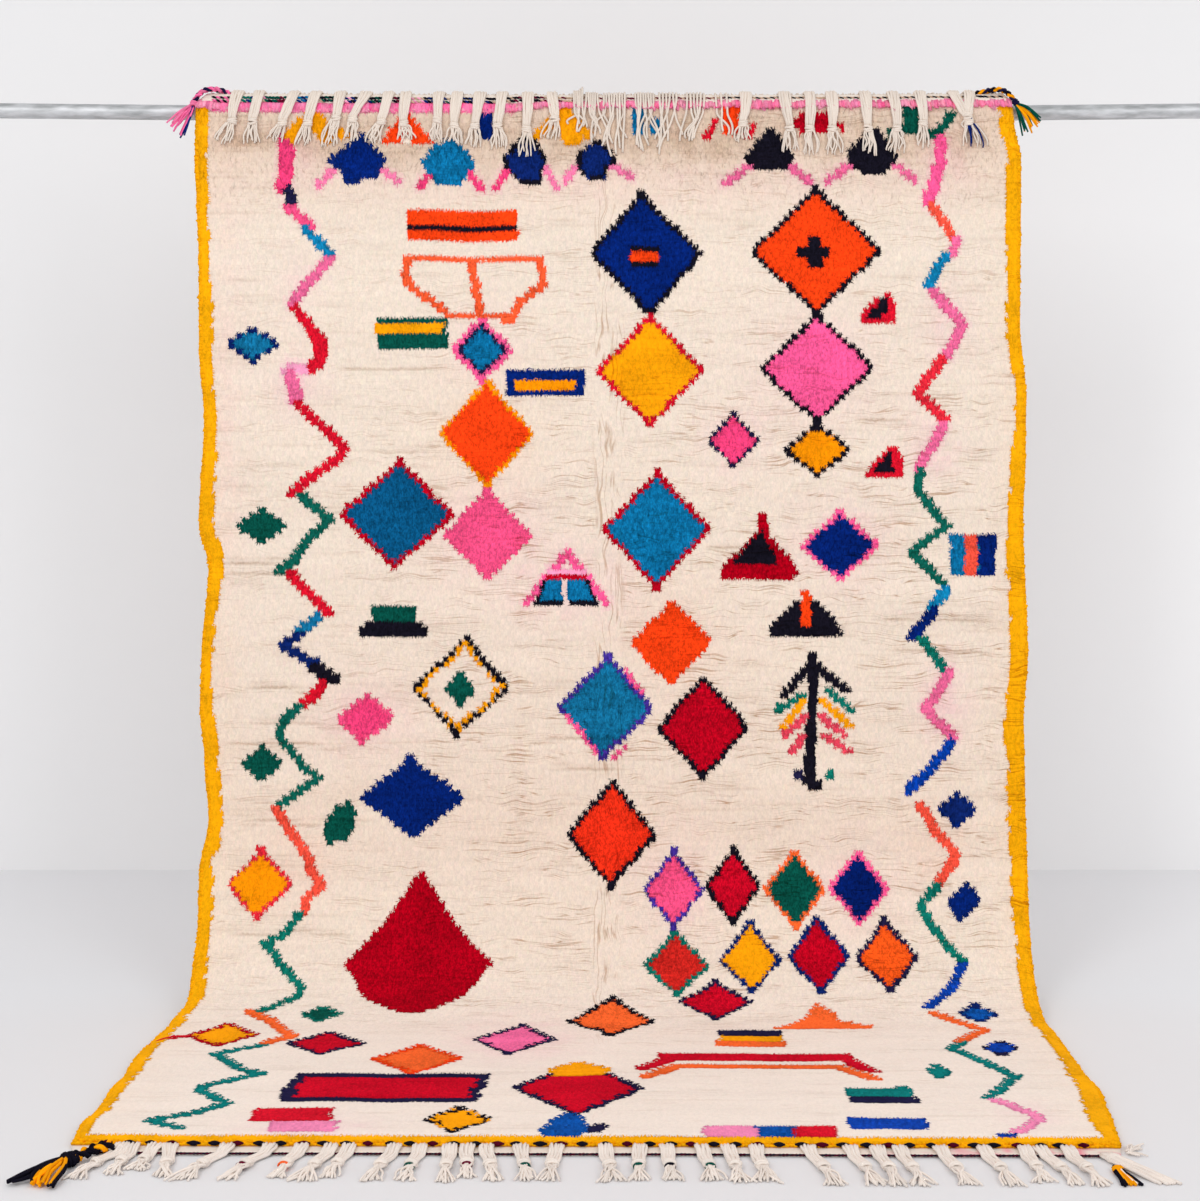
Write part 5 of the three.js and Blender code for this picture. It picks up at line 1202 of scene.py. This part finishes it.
def build_twine():
    """Slanted stitches of two yarns twined across the top, just above the pile, and small loops on the crest."""
    yarns = Yarns(8)
    rng = yarns.rng
    t = np.linspace(0, 1, 6)
    swell = np.sin(np.pi * np.clip(t, 0.07, 0.93))
    roots = np.array([strap[0] for strap in TOP_STRAPS]) * MM
    for low, high, first, second, thick in TWINE:
        for line in (-0.0022, 0.0018) if thick > 1.4 else (-0.0020,):
            for k, x in enumerate(np.arange(low * CM, high * CM, STITCH_STEP)):
                if np.min(np.abs(roots - x - 0.004)) < 0.009:
                    continue
                u = x + 0.0100 * t + rng.normal(0, 0.0006)
                s = TWINE_S + line + 0.0008 * noise(x / 0.02, 0.0, 71) + 0.0022 * (t - 0.5)
                s = s - 0.0014 * smooth(u, PINK_SLOPE[0] * CM, PINK_SLOPE[1] * CM)
                points = top_point(u, s, 0.0006 + thick * MM * 0.5 * swell)
                colour = first if (k + (line > 0)) % 2 or rng.random() < 0.25 else second
                yarns.lay(points, 0.0005 + thick * MM * swell, 6, colour, (0.85, 1.15))
    left, right = sides_at(0.01)
    t = np.linspace(0, 1, 5)
    for x in np.arange(left + 0.01, right - 0.01, CREST_STEP):
        s = 0.0125 + rng.uniform(0, 0.006) + 0.0045 * t
        lift = -0.0012 + (0.0018 + rng.uniform(0, 0.0022)) * np.sin(np.pi * t)
        points = top_point(x + rng.normal(0, 0.0012) + rng.normal(0, 0.003) * t, s, lift)
        yarns.lay(points, rng.uniform(0.0009, 0.0016), 4, "cotton", (0.88, 1.0))
    return yarns.build("top_twining", YARN)


# ---- Fringe of the front end ----
# mm in place along X: root, middle of the tips, width there and reach, and any yarn wrapped round it.
FLOOR_TASSELS = [
    (-758, -804, 30, 98), (-742, -750, 22, 80), (-708, -718, 30, 62), (-684, -672, 26, 88), (-596, -642, 32, 100),
    (-530, -577, 26, 98, "maroon"), (-482, -506, 20, 92, "orange"), (-436, -464, 32, 103), (-408, -426, 22, 90),
    (-338, -363, 24, 100), (-298, -313, 24, 100, "green"), (-252, -254, 20, 105), (-226, -220, 20, 88, "maroon"),
    (-196, -180, 20, 100), (-143, -130, 26, 98, "green"), (-88, -98, 26, 98), (-13, -2, 38, 103),
    (40, 36, 26, 98, "green"), (82, 86, 24, 97, "black"), (136, 149, 30, 97, "green"), (177, 188, 26, 104),
    (219, 226, 34, 104), (300, 328, 26, 112), (364, 389, 26, 112), (405, 420, 22, 114), (440, 456, 32, 112),
    (503, 524, 26, 112), (569, 591, 24, 113), (632, 639, 24, 100), (657, 684, 22, 113), (698, 720, 28, 114),
]
KNOT_SHARE = 0.42  # how far along its reach a bunch is knotted
TIP_SPREAD, TIP_REACH = 1.35, 8  # the outer strands lie this much wider, and this many mm further, than the table says
DARK_MAROON = WOOL["maroon"] * 0.45
CORD_PARTS = 29  # pieces of the cord along the front edge
FOOT_STEP = 0.0335  # between the stitches at the pile's foot
# A long stray thread at the left: u, s and height in metres.
STRAY_THREAD = [
    (-0.742, 1.985, 0.0165), (-0.770, 1.992, 0.0170), (-0.790, 2.002, 0.0150), (-0.806, 2.020, 0.0110),
    (-0.815, 2.040, 0.0060),
]


def front_y(x):
    return FLOOR_Y - FLOOR_RUN - table_at(FRONT_EDGE, x / CM) * MM


def build_floor_fringe():
    yarns = Yarns(6)
    rng = yarns.rng
    for root, tip_middle, spread, reach, *wrap in FLOOR_TASSELS:
        root, tip_middle, spread, reach = (
            value * MM for value in (root, tip_middle, spread * TIP_SPREAD, reach + TIP_REACH)
        )
        edge = front_y(root)
        knot_y = edge - reach * KNOT_SHARE
        knot_x = root + (tip_middle - root) * 0.55
        t = np.linspace(0, 1, 11)
        y = edge + 0.023 + (knot_y - edge - 0.023) * t
        rise = 0.0030 + 0.0050 * smooth(y, edge - 0.006, edge + 0.004)
        centre = np.stack([root + (knot_x - root) * smooth(t, 0.1, 1), y, rise], -1)
        across = np.stack([-np.gradient(centre[:, 1]), np.gradient(centre[:, 0]), t * 0], -1)
        across /= np.linalg.norm(across, axis=1, keepdims=True)
        for k, share in enumerate(STRANDS_TO_KNOT):
            offset = share * (0.0098 - 0.0022 * t) + 0.0010 * np.sin(TURN * (1.2 * t + rng.random()))
            rise = 0.0014 * (k % 2) + 0.0006 * np.sin(TURN * (t + rng.random())) + 0.0010 * t
            points = centre + across * offset[:, None] + UP * rise[:, None]
            yarns.lay(points, 0.0025, 6, "floorcotton", (0.95, 1.02))
        along = np.array([knot_x - root, knot_y - edge, 0])
        along = along / np.linalg.norm(along)
        side = np.cross(UP, along)
        place = np.array([knot_x, knot_y - 0.003, 0.0062])
        yarns.knot(place, along, side, UP, 0.0090, 0.0052, "floorcotton")
        a = np.linspace(0, TURN, 13)
        for j in range(3 if wrap else 0):
            middle = place + along * (0.0088 + 0.0022 * j) - UP * 0.0008
            ring = middle + side * (np.cos(a) * 0.0076)[:, None] + UP * (np.sin(a) * 0.0046)[:, None]
            yarns.lay(ring, 0.0015, 5, *wrap)
        t = np.linspace(0, 1, 10)
        for share in spaced(FLOOR_STRANDS) - 0.5:
            start = np.array([knot_x, knot_y - 0.008, 0]) + side * share * -0.018
            tip_x = tip_middle + share * spread + rng.normal(0, 0.003)
            tip = np.array([tip_x, edge - reach * rng.uniform(0.88, 1.0), 0])
            bend = rng.normal(0, 0.003) * np.sin(np.pi * t) + rng.normal(0, 0.0014) * np.sin(2.6 * np.pi * t)
            line = start + (tip - start) * t[:, None] + side * bend[:, None]
            line[:, 2] = 0.0021 + 0.0048 * (1 - t) ** 2 + rng.uniform(0, 0.0065) * np.sin(np.pi * t)
            yarns.lay(line, 0.0020 * (1 - 0.15 * t**3), 5, "floorcotton", (0.9, 1.05))
    return yarns.build("fringe_floor_yarn", YARN)


def build_front_edge():
    """The dark cord along the front edge, the lens-shaped stitches at the pile's foot, and one stray thread."""
    yarns = Yarns(9)
    rng = yarns.rng
    left, right = sides_at(RUG_LENGTH - 0.004)
    t = np.linspace(0, 1, 12)
    for k in range(CORD_PARTS):
        for phase, colour in ((0, DARK_MAROON), (np.pi, WOOL["black"] * 1.6)):
            u = left + 0.005 + (k + t) * ((right - left - 0.01) / CORD_PARTS)
            a = phase + TURN * (u / 0.013)
            points = rug_point(u, RUG_LENGTH + 0.0012 + 0.0009 * np.cos(a), 0.0031 + 0.0009 * np.sin(a))
            yarns.lay(points, 0.0014, 5, colour, (0.9, 1.3))
    t = np.linspace(0, 1, 8)
    for k, u in enumerate(np.arange(left + 0.05, right - 0.02, FOOT_STEP)):
        u = u + rng.normal(0, 0.0015)
        half = 0.0098 * rng.uniform(0.75, 1.15)
        points = rug_point(u + (t * 2 - 1) * half, RUG_LENGTH - 0.0262 + 0.0016 * (t - 0.5), 0.0092)
        colour = "black" if k % 3 else DARK_MAROON
        yarns.lay(points, 0.0008 + 0.0032 * np.sin(np.pi * np.clip(t, 0.05, 0.95)), 6, colour, (0.9, 1.3))
    line, _ = smooth_path(rug_point(*np.transpose(STRAY_THREAD)), 24)
    yarns.lay(line, 0.0013, 5, "red")
    return yarns.build("front_stitches", YARN)


# ---- Plaits and loose yarns of the corners ----
PLAIT_PITCH = 0.030  # the length of one turn in a plait of size 1


def smooth_path(points, count):
    """Evenly spread samples of a smooth line through points, and its length."""
    points = np.asarray(points, float)
    padded = np.concatenate([[2 * points[0] - points[1]], points, [2 * points[-1] - points[-2]]])
    t = np.linspace(0, 1, 24, endpoint=False)[:, None]
    line = []
    for p0, p1, p2, p3 in zip(padded, padded[1:], padded[2:], padded[3:]):
        line.append(0.5 * (2 * p1 + (p2 - p0) * t + (2 * p0 - 5 * p1 + 4 * p2 - p3) * t**2
                           + (3 * p1 - p0 - 3 * p2 + p3) * t**3))
    line = np.concatenate([*line, padded[-2:-1]])
    run = np.concatenate([[0], np.cumsum(np.linalg.norm(np.diff(line, axis=0), axis=1))])
    at = np.linspace(0, run[-1], count)
    return np.stack([np.interp(at, run, line[:, i]) for i in range(3)], -1), run[-1]


def build_plait(name, seed, size, colours, tail_colours, route, tails):
    """Three yarns plaited along a route, and loose yarns at its end."""
    yarns = Yarns(seed)
    rng = yarns.rng
    path, length = smooth_path(np.array(route) * MM, 64)
    side, out = sides_along(path)
    t = np.linspace(0, 1, len(path))
    turns = length / (PLAIT_PITCH * size)
    for k in range(3):
        a = TURN * (turns * t + k / 3)
        centre = path + side * (np.sin(a) * 0.0040 * size)[:, None] + out * (np.sin(2 * a) * 0.0021 * size)[:, None]
        for j in range(3):
            b = TURN * (turns * 1.6 * t + j / 3)
            ply = side * (np.cos(b) * 0.0015 * size)[:, None] + out * (np.sin(b) * 0.0015 * size)[:, None]
            yarns.lay(centre + ply, 0.0018 * size, 5, colours[k], (0.8, 1.2))
    along = path[-1] - path[-4]
    along /= np.linalg.norm(along)
    on_floor = name.startswith("plait_floor")
    wide, wraps = (1.5, 5) if on_floor else (1.0, 3)
    yarns.knot(path[-3], along, side[-3], out[-3], 0.0062 * size * wide, 0.0052 * size, colours[0], wraps,
               0.0021 * size)
    for j, tail in enumerate(tails):
        line, _ = smooth_path(np.array(tail) * MM, 14)
        t = np.linspace(0, 1, len(line))
        for k in range(5):
            stray = rng.normal(0, 0.0045, 3) * [1, 0.3, 1]
            strand = line + stray * t[:, None] ** 1.3 + rng.normal(0, 0.0014, 3)
            if on_floor:
                strand[:, 2] = np.abs(stray[2]) * t * 0.4 + 0.0030 + 0.0065 * (1 - t) + 0.0014 * k
                strand[:, :2] += rng.normal(0, 0.0045, 2) * np.sin(np.pi * t)[:, None]
            strand += (side[-1] * rng.normal(0, 0.0014)) * np.sin(2.2 * np.pi * t)[:, None]
            colour = tail_colours[j] if k < 4 else tail_colours[j - 1]
            yarns.lay(strand, 0.0021 * size * (1 - 0.25 * t**3), 5, colour, (0.8, 1.2))
    return yarns.build(f"{name}_yarn", YARN)


# Plaits: name, slot, size, the colours of the three yarns and of the tails, and the route and the tails in mm.
PLAITS = [
    ("plait_top_left", "yarn_pink", 1.1, ("legpink", "inky", "pink"), ("legpink", "pink", "pink", "navy"),
     [(-748, 505, 1750), (-764, 501, 1757), (-781, 496, 1759), (-795, 491, 1756), (-806, 485, 1747),
      (-813, 481, 1735), (-816, 479, 1726)],
     [[(-816, 480, 1728), (-838, 476, 1712), (-858, 474, 1690)],
      [(-816, 480, 1726), (-833, 476, 1706), (-850, 474, 1682)],
      [(-816, 480, 1725), (-827, 476, 1704), (-842, 474, 1678)],
      [(-815, 480, 1723), (-822, 477, 1700), (-836, 475, 1667)]]),
    ("plait_top_right", "yarn_gold", 1.05, ("inky", "gold", "black"), ("deepgreen", "gold", "gold", "deepgreen"),
     [(700, 505, 1748), (722, 502, 1752), (745, 498, 1757), (762, 494, 1758), (776, 490, 1752),
      (786, 484, 1740), (793, 480, 1728)],
     [[(793, 480, 1729), (816, 476, 1720), (838, 474, 1699)],
      [(793, 480, 1727), (814, 476, 1710), (832, 474, 1686)],
      [(793, 480, 1727), (810, 476, 1704), (824, 474, 1677)],
      [(792, 480, 1725), (799, 477, 1702), (807, 475, 1670)]]),
    ("plait_floor_left", "yarn_black", 1.5, ("black", "gold", "black"), ("black", "gold", "gold", "black"),
     [(-772, -394, 13), (-788, -410, 14), (-808, -430, 12), (-826, -449, 10)],
     [[(-834, -458, 2), (-860, -488, 2), (-884, -526, 2)],
      [(-832, -456, 4), (-852, -486, 4), (-860, -528, 2)],
      [(-832, -460, 2), (-848, -496, 2), (-842, -536, 2)],
      [(-826, -456, 2), (-822, -492, 2), (-826, -542, 2)]]),
]


def build_corner_bundle():
    yarns = Yarns(14)
    rng = yarns.rng
    edge = front_y(0.752) - 0.0005
    for k, share in enumerate(spaced(12)):
        start = np.array([0.752 + (share - 0.5) * 0.018, edge - 0.001, 0.004 + 0.003 * (k % 2)])
        neck = np.array([0.765 + (share - 0.5) * 0.022, edge - 0.028, 0.005 + 0.0035 * (k % 2)])
        tip = np.array([0.800 + 0.038 * share + rng.normal(0, 0.002), edge - 0.112 * rng.uniform(0.88, 1), 0.0022])
        middle = (neck + tip) / 2 + [rng.normal(0, 0.003), 0, 0]
        middle[2] = 0.0035 + rng.uniform(0, 0.003)
        line, _ = smooth_path([start, neck, middle, tip], 16)
        yarns.lay(line, 0.0026, 5, "floorcotton", (0.9, 1.05))
    for k in range(12):
        start = np.array([0.785 + 0.010 * rng.random(), edge + 0.006 + 0.020 * rng.random(), 0.004])
        tip = start + [rng.uniform(0.012, 0.034), rng.uniform(-0.012, 0.040), -0.0015]
        middle = (start + tip) / 2 + [rng.normal(0, 0.005), rng.normal(0, 0.006), rng.uniform(0, 0.004)]
        line, _ = smooth_path([start, middle, tip], 12)
        yarns.lay(line, 0.0014, 5, "floorcotton", (0.9, 1.05))
    along = np.array([0.45, -0.9, 0])
    along /= np.linalg.norm(along)
    place = np.array([0.760, edge - 0.018, 0.0058])
    yarns.knot(place, along, np.cross(UP, along), UP, 0.0115, 0.0048, "floorcotton")
    return yarns.build("corner_bundle_yarn", YARN)


def build_corner_tassel():
    yarns = Yarns(15)
    rng = yarns.rng
    head = np.array([0.7562, -0.464, 0.0])
    colours = ["black"] * 3 + ["gold"] * 4 + ["cotton"] + ["black"] * 2
    for k, (colour, share) in enumerate(zip(colours, spaced(len(colours)))):
        start = head + [(share - 0.5) * 0.012, 0, 0.004 + 0.002 * (k % 2)]
        neck = head + [(share - 0.5) * 0.014, -0.016, 0.0035 + 0.002 * (k % 2)]
        tip = np.array([0.748 + 0.033 * share, -0.531 + rng.uniform(0, 0.008), 0.002])
        line, _ = smooth_path([start, neck, (neck + tip) / 2 + [rng.normal(0, 0.002), 0, 0.0005], tip], 14)
        yarns.lay(line, 0.0025, 5, colour, (0.85, 1.15))
    yarns.knot(head + [0, -0.008, 0.0045], FORWARD, RIGHT, UP, 0.0075, 0.0036, "gold")
    return yarns.build("corner_tassel_yarn", YARN)


# ---- Build everything, and say what rides on the part, its slot and the node it stands in for ----
ground_piece = build_ground()
knots = Knots()
pile_pieces = [*build_pile(knots), *build_tips(knots), build_tufts()]
rail_piece = build_rail()
top_fringe = build_top_fringe()
twine = build_twine()
floor_fringe = build_floor_fringe()
front_stitches = build_front_edge()
bundle = build_corner_bundle()
tassel = build_corner_tassel()
plaits = [build_plait(name, 20 + i, *spec) for i, (name, _, *spec) in enumerate(PLAITS)]

PLACES = [
    (ground_piece, "wool_pile", "rug"),
    (rail_piece, "rail_steel", "rail"),
    (top_fringe, "cotton_warp", "fringe_top"),
    (floor_fringe, "cotton_warp", "fringe_floor"),
    (bundle, "cotton_warp", "bundle_floor_right"),
    (tassel, "yarn_gold", "tassel_floor_right"),
    *((piece, slot, name) for piece, (name, slot, *_) in zip(plaits, PLAITS)),
    (twine, "cotton_warp", None),
    (front_stitches, "yarn_black", None),
    *((piece, "wool_pile", "rug") for piece in pile_pieces),
]
for piece, slot, node in PLACES:
    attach(piece, "root")
    if node:
        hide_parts(node)

# ---- Floor, wall and light ----
STAGE_HALF, WALL_Y, WALL_TOP = 8, 1.47, 6
STAGE_Z = -0.0006  # a hair under the rug


def plane(name, corners, colour, roughness):
    mesh = bpy.data.meshes.new(name)
    mesh.from_pydata(corners, [], [(0, 1, 2, 3)])
    mesh.materials.append(plain_material(f"{name}_paint", colour, roughness))
    return add_object(name, mesh)


front, foot, top = (
    [(-STAGE_HALF, y, z), (STAGE_HALF, y, z)]
    for y, z in ((-STAGE_HALF, STAGE_Z), (WALL_Y, STAGE_Z), (WALL_Y, WALL_TOP))
)
floor = plane("floor", front + foot[::-1], (0.80, 0.80, 0.82), 0.7)
wall = plane("backdrop", foot + top[::-1], (0.86, 0.86, 0.87), 0.9)

# name, place, target, size and watts
LIGHTS = [
    ("key", (-2.2, -3.6, 3.4), (0, 0.2, 0.8), 1.8, 61),
    ("fill", (2.6, -3.8, 2.8), (0.2, 0.2, 0.8), 2.2, 45),
    ("wall_right", (2.5, 0.7, 0.7), (0.9, 1.47, 0.9), 0.8, 5),
    ("wall_left", (-2.5, 0.7, 0.7), (-0.9, 1.47, 0.9), 0.8, 2),
]
for name, place, target, size, watts in LIGHTS:
    light = bpy.data.lights.new(name, "AREA")
    light.shape = "RECTANGLE"
    light.size = light.size_y = size
    light.energy = watts
    lamp = add_object(name, light)
    lamp.location = place
    lamp.rotation_euler = (Vector(target) - Vector(place)).to_track_quat("-Z", "Y").to_euler()
world = bpy.data.worlds.new("studio")
world.use_nodes = True
background = world.node_tree.nodes["Background"]
background.inputs["Color"].default_value = (1, 1, 1, 1)
background.inputs["Strength"].default_value = 0.72
bpy.context.scene.world = world
bpy.context.scene.view_settings.view_transform = "Standard"
